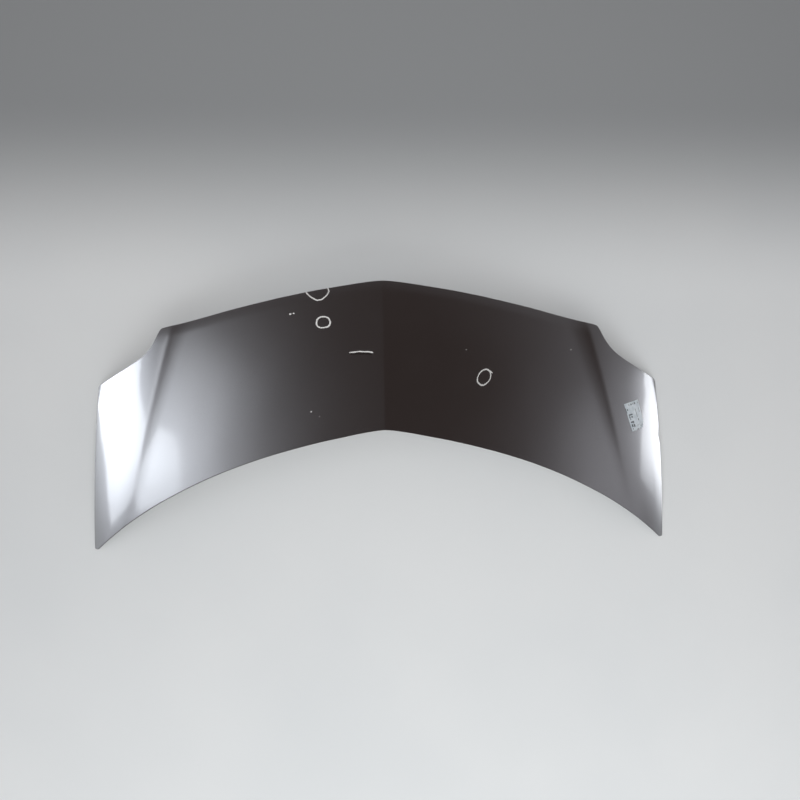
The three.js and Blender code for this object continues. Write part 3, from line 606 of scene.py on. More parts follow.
# ---------------------------------------------------------------- small pieces
def frame_at(x, y, depth, down=True):
    """Axes seated at a depth under the skin, +Z pointing away from it."""
    a = np.array([x]), np.array([y])
    n = normals(*a)[0] * (-1 if down else 1)
    o = under(*a, np.array([depth]))[0]
    q = Vector((0, 0, 1)).rotation_difference(Vector(n)).to_matrix()
    return np.array(q), o


def level(x, y, z):
    return np.eye(3), np.array([x, y, z], float)


def placed(name, verts, faces, where, smooth=True):
    r_, o = where
    return add_mesh(name, np.asarray(verts, float) @ r_.T + o, faces, smooth)


def lathe(profile, sides=48, closed=False, wobble=None):
    """Faces turned from [radius, height] points, radius 0 at both ends or closed into a ring."""
    v, f = [], []
    rings = []
    for r_, z in profile:
        if r_ < 1e-6:
            rings.append([len(v)])
            v.append((0, 0, z))
        else:
            rings.append(list(range(len(v), len(v) + sides)))
            for k in range(sides):
                a = 2 * math.pi * k / sides
                g = 1.0 if wobble is None else wobble(a, z)
                v.append((r_ * g * math.cos(a), r_ * g * math.sin(a), z))
    pairs = list(zip(rings[:-1], rings[1:]))
    if closed:
        pairs.append((rings[-1], rings[0]))
    for a, b in pairs:
        for k in range(sides):
            q = (k + 1) % sides
            if len(a) == 1:
                f.append((a[0], b[q], b[k]))
            elif len(b) == 1:
                f.append((a[k], a[q], b[0]))
            else:
                f.append((a[k], a[q], b[q], b[k]))
    return v, f


def outward(ob):
    """Turns every closed shell's faces to the outside."""
    import bmesh

    bm = bmesh.new()
    bm.from_mesh(ob.data)
    bmesh.ops.remove_doubles(bm, verts=bm.verts, dist=1e-7)
    bmesh.ops.recalc_face_normals(bm, faces=bm.faces)
    bm.to_mesh(ob.data)
    bm.free()
    return ob


def arc(cx, cy, r_, a0, a1, n):
    return [(cx + r_ * math.cos(a0 + (a1 - a0) * k / n), cy + r_ * math.sin(a0 + (a1 - a0) * k / n)) for k in range(n + 1)]


def round_rect(w, h, r_, n=8):
    x, y = w / 2 - r_, h / 2 - r_
    p = math.pi
    return arc(x, -y, r_, -p / 2, 0, n) + arc(x, y, r_, 0, p / 2, n) + arc(-x, y, r_, p / 2, p, n) + arc(-x, -y, r_, p, 1.5 * p, n)


def circle(x, y, r_, n=32):
    return [(x + r_ * math.cos(2 * math.pi * k / n), y + r_ * math.sin(2 * math.pi * k / n)) for k in range(n)]


def slab(name, outline, holes_, low, high, where, bevel=0.25):
    """A flat piece cut from sheet, its edges broken by a small bevel."""
    curve = bpy.data.curves.new(name, "CURVE")
    curve.dimensions = "2D"
    curve.fill_mode = "BOTH"
    for pts in [outline] + holes_:
        sp = curve.splines.new("POLY")
        sp.points.add(len(pts) - 1)
        for q, (x, y) in zip(sp.points, pts):
            q.co = (x, y, 0, 1)
        sp.use_cyclic_u = True
    curve.extrude = (high - low) / 2 - bevel
    curve.bevel_depth = bevel
    curve.bevel_resolution = 1
    curve.offset = -bevel
    tmp = bpy.data.objects.new(name + "_outline", curve)
    scene.collection.objects.link(tmp)
    mesh = bpy.data.meshes.new_from_object(tmp.evaluated_get(bpy.context.evaluated_depsgraph_get()))
    v = np.array([q.co[:] for q in mesh.vertices]) + [0, 0, (low + high) / 2]
    f = [tuple(q.vertices) for q in mesh.polygons]
    bpy.data.objects.remove(tmp)
    bpy.data.meshes.remove(mesh)
    bpy.data.curves.remove(curve)
    ob = outward(placed(name, v, f, where, False))
    return ob


def merge(name, obs):
    """Several closed shells as one piece."""
    v, f, sm = [], [], []
    for ob in obs:
        b = len(v)
        v += [tuple(q.co) for q in ob.data.vertices]
        f += [tuple(i + b for i in q.vertices) for q in ob.data.polygons]
        sm += [q.use_smooth for q in ob.data.polygons]
        me = ob.data
        bpy.data.objects.remove(ob)
        bpy.data.meshes.remove(me)
    mesh = bpy.data.meshes.new(name)
    mesh.from_pydata(v, [], f)
    mesh.update()
    mesh.polygons.foreach_set("use_smooth", sm)
    ob = bpy.data.objects.new(name, mesh)
    scene.collection.objects.link(ob)
    return ob


def soften(ob, angle=40):
    """Smooth shading that keeps edges sharper than the angle."""
    mesh = ob.data
    mesh.polygons.foreach_set("use_smooth", [True] * len(mesh.polygons))
    mesh.set_sharp_from_angle(angle=math.radians(angle))
    return ob


def hexagon(flats):
    c_ = flats / math.sqrt(3)
    return [(c_ * math.cos(k * math.pi / 3), c_ * math.sin(k * math.pi / 3)) for k in range(6)]


def turned(name, profile, where, sides=48, closed=False, wobble=None):
    v, f = lathe(profile, sides, closed, wobble)
    return soften(outward(placed(name, v, f, where)))


def weld_nut(name, bore, flats, h, where):
    body = slab(name + "_hex", hexagon(flats), [circle(0, 0, bore)], 0.8, h, where, 0.35)
    R = flats / 2 + 1.4
    foot = turned(name + "_foot", [(bore, 0), (R - 0.2, 0), (R, 0.25), (R, 0.95), (R - 0.25, 1.2), (bore, 1.2)], where, 40, True)
    return soften(merge(name, [body, foot]))


def flange_bolt(name, r_, flats, shank, where):
    head = slab(name + "_hex", hexagon(flats), [], -6, -1, where, 0.45)
    R = flats / 2 + 2.2
    skirt = turned(name + "_skirt", [(0, -1.9), (flats / 2 - 0.4, -1.9), (R - 0.3, -1.0), (R, -0.7), (R, -0.15), (R - 0.15, 0), (0, 0)], where)
    thread = [(0, -1.0), (r_, -1.0)]
    z = 0.5
    while z < shank - 2.0:
        thread += [(r_, z), (r_ - 0.32, z + 0.5)]
        z += 1.0
    thread += [(r_, z), (r_, shank - 1), (r_ - 1, shank), (0, shank)]
    rod = turned(name + "_shank", thread, where, 32)
    return soften(merge(name, [head, skirt, rod]))


def plate_outline(sign):
    pts = [point(("s", a), ("r", b)) for a, b in ((HINGE_SEAT[0], 25), (HINGE_SEAT[1], 25), (HINGE_SEAT[1], 63), (HINGE_SEAT[0], 63))]
    pts = [((x - HINGE_MID[0]) * 0.86 * sign, y - HINGE_MID[1]) for x, y in pts]
    if sign < 0:
        pts = pts[::-1]
    out = []
    for i, q in enumerate(pts):
        q = np.array(q)
        a = np.array(pts[i - 1])
        b = np.array(pts[(i + 1) % 4])
        a = q + (a - q) / np.linalg.norm(a - q) * 6
        b = q + (b - q) / np.linalg.norm(b - q) * 6
        for t in np.linspace(0, 1, 8):
            out.append(tuple((1 - t) ** 2 * a + 2 * t * (1 - t) * q + t * t * b))
    return out


BUFFER = [
    (0, -7), (1.8, -7), (2.4, -6.7), (4.9, -4.5), (4.9, -3.5), (3.6, -2.9), (3.6, 0), (9.9, 0), (10.5, 0.3),
    (11.5, 2.4), (11.42, 3.1), (10.75, 6.2), (10.25, 6.7), (10.35, 7.3), (10.5, 7.7), (10.1, 10.6), (9.7, 11.3), (7.9, 14.4),
    (7.2, 15), (5.2, 15), (4.6, 14.6), (2.0, 14.2), (0, 14.2),
]
SOCKET = [
    (5.2, -6), (7.6, -6), (8.0, -5.8), (8.9, -4.5), (8.8, -4.1), (7.9, -2.9), (7.9, 0), (11.2, 0), (11.5, 0.3),
    (11.5, 1.8), (11.2, 2.2), (9.7, 3.8), (9.3, 4), (5.6, 4), (5.2, 3.6),
]
SMALL = {}


def put(name, node, slot, ob):
    ob.name = name
    SMALL.setdefault(slot, []).append(keep(ob, node, slot))


for side, sign in (("left", -1), ("right", 1)):
    bolts = [(sign * (x - HINGE_MID[0]), y - HINGE_MID[1]) for x, y in HINGE_BOLTS]
    plate = slab(
        "hinge_plate_" + side, plate_outline(sign), [circle(x, y, 4.5) for x, y in bolts], 0, 1.5,
        level(sign * HINGE_MID[0], HINGE_MID[1], HINGE_Z + 0.3), 0.3,
    )
    put("hinge_plate_" + side, "hinge_reinforcement_" + side, "primed_steel", soften(plate))
    for (x, y), end in zip(HINGE_BOLTS, ("front", "rear")):
        nut = weld_nut("hinge_weld_nut_" + side + end, 4.3, 13, 7, level(sign * x, y, HINGE_Z + 2.1))
        put("hinge_weld_nut_%s_%s" % (side, end), "hinge_nut_%s_%s" % (side, end), "zinc_plated_steel", nut)
    put(
        "lock_weld_nut_" + side, "lock_nut_" + side, "zinc_plated_steel",
        weld_nut("lock_weld_nut_" + side, 3.4, 10, 5.5, level(sign * 28, LOCK_Y, LOCK_Z + 2.1)),
    )
    put(
        "striker_screw_" + side, "striker_bolt_" + side, "zinc_plated_steel",
        flange_bolt("striker_screw_" + side, 3, 10, 15, level(sign * 28, LOCK_Y, LOCK_Z - INNER_T - 2.5 - 0.6)),
    )
    for where, column, row, drop in (("front", ("s", 0.66), ("f", 44), CHANNEL), ("side", ("d", 38), ("m", 0.62), 13.5)):
        x, y = point(column, row, sign)
        lo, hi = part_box("buffer_%s_%s" % (where, side))
        r_, o = frame_at(x, y, 0)
        mid = (np.array(lo) + np.array(hi)) / 2 / M - [0, CENTRE_Y, 0]
        # along its own axis, the buffer sits where the CAD one does: its middle is 4 above the seat
        seat = float((mid - o) @ r_[:, 2]) - 4.0
        ob = turned("stop_%s_%s" % (where, side), BUFFER, (r_, o + r_[:, 2] * seat), 56)
        put("stop_%s_%s" % (where, side), "buffer_%s_%s" % (where, side), "buffer_rubber", ob)
    rng = np.random.default_rng(17 + sign)
    for where, cc, share in (
        ("centre", 0.185, 0.505), ("centre_rear", 0.205, 0.04), ("middle", 0.5, 0.505), ("middle_front", 0.46, 0.96),
        ("outer", 0.8, 0.505), ("outer_rear", 0.77, 0.04),
    ):
        x, y = point(("s", cc), ("m", share), sign)
        r_, o = frame_at(x, y, SKIN_T + 0.02)
        t = WEB - SKIN_T - 0.04
        ph = rng.uniform(0, 6.28, 4)
        wob = lambda a, z, ph=ph: 0.955 + 0.03 * math.sin(3 * a + ph[0]) + 0.015 * math.sin(7 * a + ph[1])
        prof = [(0, 0), (9.6, 0), (10.6, 0.5), (10.9, 1.2), (10.2, 2.2), (9.7, t / 2), (10.1, t - 2.0), (10.8, t - 1.2), (10.5, t - 0.4), (9.5, t), (0, t)]
        ob = turned("dab_%s_%s" % (where, side), prof, (r_, o), 40, False, wob)
        put("dab_%s_%s" % (where, side), "mastic_%s_%s" % (where, side), "mastic", ob)

put(
    "lock_plate", "lock_reinforcement", "primed_steel",
    soften(slab("lock_plate", round_rect(100, 38, 6), [circle(28, 0, 3.6), circle(-28, 0, 3.6), circle(0, 13, 6), circle(0, -13, 6)], 0, 1.5, level(0, LOCK_Y, LOCK_Z + 0.3), 0.3)),
)
put(
    "striker_base", "striker_plate", "zinc_plated_steel",
    soften(slab("striker_base", round_rect(80, 39, 7), [circle(28, 0, 3.6), circle(-28, 0, 3.6), circle(0, 13, 4.7), circle(0, -13, 4.7)], -2.5, 0, level(0, LOCK_Y, LOCK_Z - INNER_T - 0.3), 0.4)),
)


def striker_wire():
    h, b, bottom, top, rad = 13.0, 8.0, -40.0, 5.0, 4.0
    path = [(-h, z) for z in np.linspace(top, bottom + b, 16)]
    path += arc(-h + b, bottom + b, b, math.pi, 1.5 * math.pi, 10)[1:]
    path += [(y, bottom) for y in np.linspace(-h + b, h - b, 6)[1:]]
    path += arc(h - b, bottom + b, b, -math.pi / 2, 0, 10)[1:]
    path += [(h, z) for z in np.linspace(bottom + b, top, 16)[1:]]
    path = np.array(path)
    d = np.gradient(path, axis=0)
    d /= np.linalg.norm(d, axis=1, keepdims=True)
    sides = 28
    v, f = [], []
    rings = []
    ends = [(0, 0.0, 0.75), (0, 0.5, 0.95)]

    def ring(p2, d2, scale, shift):
        rings.append(list(range(len(v), len(v) + sides)))
        side_ = np.array([-d2[1], d2[0]])
        for k in range(sides):
            a = 2 * math.pi * k / sides
            q = p2 + d2 * shift + side_ * rad * scale * math.sin(a)
            v.append((rad * scale * math.cos(a), q[0], q[1]))

    ring(path[0], d[0], 0.86, 0.0)
    ring(path[0], d[0], 1.0, 0.6)
    for p2, d2 in zip(path[1:-1], d[1:-1]):
        ring(p2, d2, 1.0, 0.0)
    ring(path[-1], d[-1], 1.0, -0.6)
    ring(path[-1], d[-1], 0.86, 0.0)
    for a, b_ in zip(rings[:-1], rings[1:]):
        for k in range(sides):
            q = (k + 1) % sides
            f.append((a[k], a[q], b_[q], b_[k]))
    f.append(tuple(rings[0][::-1]))
    f.append(tuple(rings[-1]))
    return soften(outward(placed("striker_wire", v, f, level(0, LOCK_Y, LOCK_Z))), 50)


put("striker_wire", "striker_loop", "zinc_plated_steel", striker_wire())

lo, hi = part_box("stay_socket")
x, y = point(("d", 38), ("m", 0.12))
r_, o = frame_at(x, y, 0)
mid = (np.array(lo) + np.array(hi)) / 2 / M - [0, CENTRE_Y, 0]
put(
    "stay_collar", "stay_socket", "black_plastic",
    turned("stay_collar", SOCKET, (r_, o + r_[:, 2] * (float((mid - o) @ r_[:, 2]) + 1.0)), 64, True),
)


# ------------------------------------------------------------------------ label
LABEL = np.array([(639, 25), (685.5, 37), (710, -41), (663.5, -49)], float)


def stock_label():
    """Thin paper, lifted and creased, its lower outer corner torn."""
    nu, nv = 44, 66
    u, v = np.meshgrid(np.linspace(0, 1, nu + 1), np.linspace(0, 1, nv + 1), indexing="ij")
    torn = 1 - 0.30 * np.clip((v - 0.70) / 0.30, 0, 1) ** 1.6 * (0.9 + 0.1 * np.sin(v * 60))
    uu = np.where(u > 0.5, 0.5 + (u - 0.5) * (2 * torn - 1) , u)
    bottom = 1 - 0.05 * (0.5 + 0.5 * np.sin(u * 17)) * (u > 0.25) - 0.03 * np.sin(u * 41) ** 2
    vv = np.where(v > 0.6, 0.6 + (v - 0.6) * (bottom - 0.6) / 0.4, v)
    a = (1 - vv)[..., None] * ((1 - uu)[..., None] * LABEL[0] + uu[..., None] * LABEL[1])
    b = vv[..., None] * ((1 - uu)[..., None] * LABEL[3] + uu[..., None] * LABEL[2])
    xy = a + b
    x_, y_ = xy[..., 0], xy[..., 1]
    fold = np.clip((vv - 0.62) / 0.38, 0, 1)
    lift = 0.12 + 0.10 * np.abs(np.sin(9 * uu + 4 * vv)) + fold * (0.45 * np.abs(np.sin(19 * uu + 11 * vv)) + 0.35 * np.abs(np.sin(31 * vv - 13 * uu)))
    lift += 0.35 * np.exp(-(((uu - 0.52) / 0.03) ** 2)) * (vv < 0.6) * (vv > 0.12)
    p = under(x_.ravel(), y_.ravel(), -(lift + 0.12).ravel())
    n = normals(x_.ravel(), y_.ravel())
    index = np.arange((nu + 1) * (nv + 1)).reshape(nu + 1, nv + 1)
    # u runs outwards and v rearwards, so this order faces up
    faces = [(index[i, j], index[i, j + 1], index[i + 1, j + 1], index[i + 1, j]) for i in range(nu) for j in range(nv)]
    ob = shell("paper_label", p, n, faces, 0.11)
    layer = ob.data.uv_layers.new(name="label")
    count = (nu + 1) * (nv + 1)
    uv = np.stack([uu.ravel(), vv.ravel()], 1)
    loops = np.array([q.vertex_index for q in ob.data.loops]) % count
    layer.data.foreach_set("uv", uv[loops].ravel())
    return ob


label = keep(stock_label(), "stock_label", "label_paper")


# ------------------------------------------------------------- shader helpers
class Nodes:
    def __init__(self, name):
        self.mat = bpy.data.materials.new(name)
        self.mat.use_nodes = True
        self.tree = self.mat.node_tree
        self.tree.nodes.clear()
        self.out = self.add("ShaderNodeOutputMaterial")
        self.bsdf = self.add("ShaderNodeBsdfPrincipled")
        self.link(self.bsdf.outputs[0], self.out.inputs[0])
        self.coord = self.add("ShaderNodeTexCoord").outputs["Object"]

    def add(self, kind, **props):
        n = self.tree.nodes.new(kind)
        for k, v in props.items():
            setattr(n, k, v)
        return n

    def link(self, a, b):
        self.tree.links.new(a, b)

    def put(self, socket, value):
        if isinstance(value, bpy.types.NodeSocket):
            self.link(value, socket)
        else:
            socket.default_value = value

    def math(self, op, a, b=0.0, c=0.0, clamp=False):
        n = self.add("ShaderNodeMath", operation=op, use_clamp=clamp)
        for s, v in zip(n.inputs, (a, b, c)):
            self.put(s, v)
        return n.outputs[0]

    def noise(self, scale, detail=3.0, rough=0.55, coord=None, distortion=0.0):
        n = self.add("ShaderNodeTexNoise")
        self.link(coord or self.coord, n.inputs["Vector"])
        n.inputs["Scale"].default_value = scale
        n.inputs["Detail"].default_value = detail
        n.inputs["Roughness"].default_value = rough
        n.inputs["Distortion"].default_value = distortion
        return n.outputs["Fac"]

    def ramp(self, fac, lo, hi, a=0.0, b=1.0):
        n = self.add("ShaderNodeMapRange", interpolation_type="SMOOTHSTEP")
        for s, v in zip(n.inputs, (fac, lo, hi, a, b)):
            self.put(s, v)
        return n.outputs[0]

    def mix(self, fac, a, b):
        n = self.add("ShaderNodeMix", data_type="RGBA")
        self.put(n.inputs[0], fac)
        self.put(n.inputs[6], a)
        self.put(n.inputs[7], b)
        return n.outputs[2]

    def stretch(self, sx, sy, sz, rot=(0, 0, 0)):
        n = self.add("ShaderNodeMapping")
        self.link(self.coord, n.inputs["Vector"])
        n.inputs["Scale"].default_value = (sx, sy, sz)
        n.inputs["Rotation"].default_value = rot
        return n.outputs[0]

    def bump(self, height_, strength, distance, normal=None):
        n = self.add("ShaderNodeBump")
        n.inputs["Strength"].default_value = strength
        n.inputs["Distance"].default_value = distance
        self.put(n.inputs["Height"], height_)
        if normal is not None:
            self.link(normal, n.inputs["Normal"])
        return n.outputs[0]

    def set(self, **values):
        for k, v in values.items():
            self.put(self.bsdf.inputs[k.replace("_", " ")], v)
        return self.mat


def give(ob, mat):
    ob.data.materials.clear()
    ob.data.materials.append(mat)


def marks(m):
    """Crayon rings, a dash and specks on the paint, with two pale specks that are painted lamp highlights, as one mask;
    and a painted shadow line under the dash.
    """
    wob = m.add("ShaderNodeTexNoise")
    m.link(m.coord, wob.inputs["Vector"])
    wob.inputs["Scale"].default_value = 60.0
    wob.inputs["Detail"].default_value = 3.0
    sub = m.add("ShaderNodeVectorMath", operation="SUBTRACT")
    m.link(wob.outputs["Color"], sub.inputs[0])
    sub.inputs[1].default_value = (0.5, 0.5, 0.5)
    scl = m.add("ShaderNodeVectorMath", operation="SCALE")
    m.link(sub.outputs[0], scl.inputs[0])
    scl.inputs["Scale"].default_value = 0.0045
    addv = m.add("ShaderNodeVectorMath", operation="ADD")
    m.link(m.coord, addv.inputs[0])
    m.link(scl.outputs[0], addv.inputs[1])
    co = addv.outputs[0]
    grain = m.noise(1100.0, 3.0, 0.7)

    def axes(cx, cy, turn):
        """x and y in metres about a point, turned."""
        n = m.add("ShaderNodeMapping", vector_type="TEXTURE")
        m.link(co, n.inputs["Vector"])
        n.inputs["Location"].default_value = (cx * M, (cy + CENTRE_Y) * M, 0)
        n.inputs["Rotation"].default_value = (0, 0, turn)
        s = m.add("ShaderNodeSeparateXYZ")
        m.link(n.outputs[0], s.inputs[0])
        return s.outputs[0], s.outputs[1]

    def stroke(dist, half, strength=1.0):
        """dist in metres from the stroke's middle line."""
        edge = m.ramp(m.math("ABSOLUTE", dist), half * M * 0.62, half * M * 1.18, 1.0, 0.0)
        worn = m.ramp(grain, 0.34, 0.50, 0.35, 1.0)
        return m.math("MULTIPLY", m.math("MULTIPLY", edge, worn), strength)

    def ring(cx, cy, rx, ry, turn, power, half, strength=1.0):
        x, y = axes(cx, cy, turn)
        xs = m.math("POWER", m.math("ABSOLUTE", m.math("DIVIDE", x, rx * M)), power)
        ys = m.math("POWER", m.math("ABSOLUTE", m.math("DIVIDE", y, ry * M)), power)
        rad = m.math("POWER", m.math("ADD", xs, ys), 1.0 / power)
        return stroke(m.math("MULTIPLY", m.math("SUBTRACT", rad, 1.0), (rx + ry) / 2 * M), half, strength)

    def line(x0, y0, x1, y1, bow, half, strength=1.0):
        cx, cy = (x0 + x1) / 2, (y0 + y1) / 2
        ang = math.atan2(y1 - y0, x1 - x0)
        ln = math.hypot(x1 - x0, y1 - y0) / 2
        x, y = axes(cx, cy, ang)
        rel = m.math("DIVIDE", x, ln * M)
        arch = m.math("MULTIPLY", m.math("SUBTRACT", 1.0, m.math("MULTIPLY", rel, rel)), bow * M)
        side = m.math("SUBTRACT", y, arch)
        over = m.math("MAXIMUM", m.math("SUBTRACT", m.math("ABSOLUTE", x), ln * M), 0.0)
        return stroke(m.math("SQRT", m.math("ADD", m.math("MULTIPLY", side, side), m.math("MULTIPLY", over, over))), half, strength)

    parts = [
        ring(-149.2, 240.8, 16.6, 13.8, 0.0, 2.7, 2.0),
        ring(250.2, 99.6, 21.0, 15.2, 0.95, 2.05, 1.9, 0.8),
        line(262.0, 117.0, 271.5, 111.0, 0.5, 1.9, 0.8),
        line(-83.7, 164.6, -27.1, 163.6, 2.2, 1.55),
        # painted highlights: these two pale specks stand in for the reflections of two small lamps
        line(-232.0, 263.6, -230.6, 264.0, 0.0, 2.3),
        line(-223.4, 265.2, -222.2, 265.0, 0.0, 1.9),
        line(-180.8, 19.0, -180.2, 19.2, 0.0, 2.0, 0.7),
        line(-160.0, 7.8, -159.4, 7.9, 0.0, 1.5, 0.4),
        line(490.0, 169.8, 490.5, 170.0, 0.0, 1.8, 0.5),
        line(206.6, 168.6, 207.1, 168.7, 0.0, 1.6, 0.4),
    ]
    half_ring = [
        (-194.0, 321.0), (-183.0, 308.6), (-174.1, 302.3), (-162.8, 298.0), (-150.2, 301.0), (-140.6, 309.6),
        (-135.6, 319.9), (-137.2, 327.5), (-142.5, 331.0),
    ]
    for (x0, y0), (x1, y1) in zip(half_ring[:-1], half_ring[1:]):
        parts.append(line(x0, y0, x1, y1, -0.35, 1.9))
    total = parts[0]
    for p in parts[1:]:
        total = m.math("MAXIMUM", total, p)
    # on the painted side only
    facing = m.add("ShaderNodeSeparateXYZ")
    m.link(m.add("ShaderNodeTexCoord").outputs["Normal"], facing.inputs[0])
    total = m.math("MULTIPLY", total, m.ramp(facing.outputs[2], 0.15, 0.4))
    # painted shadow: a faint dark line just under the crayon dash
    dash_shadow = line(-80.0, 160.5, -32.0, 159.5, 1.0, 2.2, 0.5)
    return total, dash_shadow


def body_paint():
    """Dark grey-brown metallic under clear coat, with flake, orange peel, dust, fine scratches and crayon marks, two
    pale specks painted in as lamp highlights, and a painted shadow line under the dash.
    """
    m = Nodes("dark_metallic_paint")
    flake = m.noise(2600.0, 2.0, 0.7)
    cloud = m.noise(5.0, 3.0, 0.5)
    tone = m.mix(m.ramp(flake, 0.35, 0.7), (0.178, 0.178, 0.182, 1), (0.272, 0.274, 0.280, 1))
    tone = m.mix(m.math("MULTIPLY", m.ramp(cloud, 0.35, 0.7), 0.2), tone, (0.21, 0.206, 0.21, 1))
    dust = m.math("MULTIPLY", m.ramp(m.noise(9.0, 6.0, 0.65), 0.45, 0.75), m.ramp(m.noise(900.0, 3.0, 0.6), 0.42, 0.75))
    streak = m.ramp(m.noise(1.0, 4.0, 0.6, m.stretch(14.0, 260.0, 60.0, (0, 0, 0.35))), 0.62, 0.8)
    wipe = m.ramp(m.noise(1.0, 4.0, 0.6, m.stretch(220.0, 10.0, 60.0, (0, 0, -0.2))), 0.64, 0.82)
    film = m.math("ADD", m.math("MULTIPLY", dust, 0.035), m.math("MULTIPLY", m.math("MAXIMUM", streak, wipe), 0.012), clamp=True)
    tone = m.mix(film, tone, (0.42, 0.40, 0.37, 1))
    crayon_and_glints, dash_shadow = marks(m)
    # the painted shadow line under the dash darkens the paint towards near black
    tone = m.mix(dash_shadow, tone, (0.02, 0.018, 0.018, 1))
    # crayon marks, and in the same mask two painted highlights: pale specks standing in for lamp reflections
    tone = m.mix(crayon_and_glints, tone, (0.88, 0.88, 0.85, 1))
    metal = m.math("MULTIPLY", m.math("SUBTRACT", 0.97, film), m.math("SUBTRACT", 1.0, crayon_and_glints))
    rough = m.math("ADD", m.math("ADD", 0.37, m.math("MULTIPLY", m.ramp(cloud, 0.3, 0.7), 0.015)), m.math("MULTIPLY", crayon_and_glints, 0.4))
    peel = m.math("ADD", m.noise(420.0, 2.0, 0.5), m.math("MULTIPLY", m.noise(90.0, 2.0, 0.5), 0.8))
    peel = m.math("ADD", peel, m.math("MULTIPLY", crayon_and_glints, 1.5))
    m.set(Base_Color=tone, Metallic=metal, Roughness=rough)
    m.set(Coat_Weight=m.math("SUBTRACT", 1.0, m.math("MULTIPLY", crayon_and_glints, 0.9)))
    m.set(Coat_Roughness=0.045, Coat_IOR=1.5)
    m.set(Normal=m.bump(flake, 0.12, 0.0003))
    m.set(Coat_Normal=m.bump(peel, 0.10, 0.0006))
    return m.mat


def inner_paint():
    """Thin satin colour coat on the inner sheet: dry spray, dust in the channels, light rubs."""
    m = Nodes("inner_paint")
    dry = m.noise(1500.0, 3.0, 0.7)
    patch = m.noise(7.0, 4.0, 0.55)
    tone = m.mix(m.ramp(patch, 0.35, 0.68), (0.060, 0.055, 0.054, 1), (0.098, 0.093, 0.093, 1))
    tone = m.mix(m.math("MULTIPLY", m.ramp(dry, 0.4, 0.7), 0.35), tone, (0.15, 0.145, 0.145, 1))
    dust = m.math("MULTIPLY", m.ramp(m.noise(14.0, 6.0, 0.7), 0.42, 0.72), m.ramp(m.noise(700.0, 3.0, 0.6), 0.35, 0.7))
    tone = m.mix(m.math("MULTIPLY", dust, 0.35), tone, (0.36, 0.33, 0.29, 1))
    rub = m.ramp(m.noise(1.0, 4.0, 0.6, m.stretch(12.0, 300.0, 80.0, (0, 0, 0.5))), 0.68, 0.82)
    tone = m.mix(m.math("MULTIPLY", rub, 0.4), tone, (0.2, 0.2, 0.2, 1))
    rough = m.math("ADD", 0.38, m.math("ADD", m.math("MULTIPLY", dust, 0.3), m.math("MULTIPLY", m.ramp(patch, 0.3, 0.7), 0.12)))
    m.set(Base_Color=tone, Metallic=0.35, Roughness=rough)
    m.set(Normal=m.bump(m.math("ADD", dry, m.noise(160.0, 2.0, 0.5)), 0.25, 0.0005))
    return m.mat


def primed_steel():
    m = Nodes("primed_steel")
    patch = m.noise(55.0, 4.0, 0.6)
    tone = m.mix(m.ramp(patch, 0.35, 0.7), (0.075, 0.078, 0.082, 1), (0.13, 0.132, 0.135, 1))
    rust = m.math("MULTIPLY", m.ramp(m.noise(90.0, 6.0, 0.7), 0.60, 0.74), m.ramp(m.noise(700.0, 3.0, 0.6), 0.35, 0.65))
    tone = m.mix(m.math("MULTIPLY", rust, 0.7), tone, (0.16, 0.062, 0.026, 1))
    m.set(Base_Color=tone, Metallic=0.2, Roughness=m.math("ADD", 0.45, m.math("MULTIPLY", rust, 0.35)))
    m.set(Normal=m.bump(m.math("ADD", m.noise(900.0, 3.0, 0.6), rust), 0.3, 0.0003))
    return m.mat


def zinc():
    m = Nodes("zinc_plated_steel")
    patch = m.noise(130.0, 4.0, 0.6)
    tone = m.mix(m.ramp(patch, 0.35, 0.7), (0.50, 0.49, 0.46, 1), (0.64, 0.62, 0.55, 1))
    bloom = m.math("MULTIPLY", m.ramp(m.noise(210.0, 5.0, 0.65), 0.56, 0.74), 0.55)
    tone = m.mix(bloom, tone, (0.66, 0.66, 0.64, 1))
    grime = m.math("MULTIPLY", m.ramp(m.noise(75.0, 6.0, 0.7), 0.55, 0.75), 0.55)
    tone = m.mix(grime, tone, (0.12, 0.095, 0.07, 1))
    m.set(Base_Color=tone, Metallic=m.math("SUBTRACT", 0.95, m.math("MULTIPLY", bloom, 0.7)))
    m.set(Roughness=m.math("ADD", 0.32, m.math("MULTIPLY", m.math("ADD", bloom, grime), 0.4)))
    drawn = m.noise(1.0, 3.0, 0.6, m.stretch(900.0, 900.0, 60.0))
    m.set(Normal=m.bump(drawn, 0.15, 0.0003))
    return m.mat


def rubber():
    m = Nodes("buffer_rubber")
    dust = m.ramp(m.noise(160.0, 6.0, 0.7), 0.45, 0.75)
    tone = m.mix(m.ramp(m.noise(60.0, 3.0, 0.5), 0.35, 0.7), (0.013, 0.013, 0.013, 1), (0.026, 0.026, 0.025, 1))
    tone = m.mix(m.math("MULTIPLY", dust, 0.35), tone, (0.13, 0.12, 0.105, 1))
    m.set(Base_Color=tone, Roughness=m.math("ADD", 0.62, m.math("MULTIPLY", dust, 0.25)))
    m.set(Normal=m.bump(m.noise(1300.0, 3.0, 0.65), 0.35, 0.0003))
    return m.mat


def mastic():
    m = Nodes("mastic")
    tone = m.mix(m.ramp(m.noise(140.0, 4.0, 0.6), 0.35, 0.7), (0.020, 0.018, 0.016, 1), (0.048, 0.044, 0.038, 1))
    m.set(Base_Color=tone, Roughness=0.78)
    m.set(Normal=m.bump(m.math("ADD", m.noise(120.0, 3.0, 0.6), m.math("MULTIPLY", m.noise(800.0, 2.0, 0.6), 0.3)), 0.5, 0.001))
    return m.mat


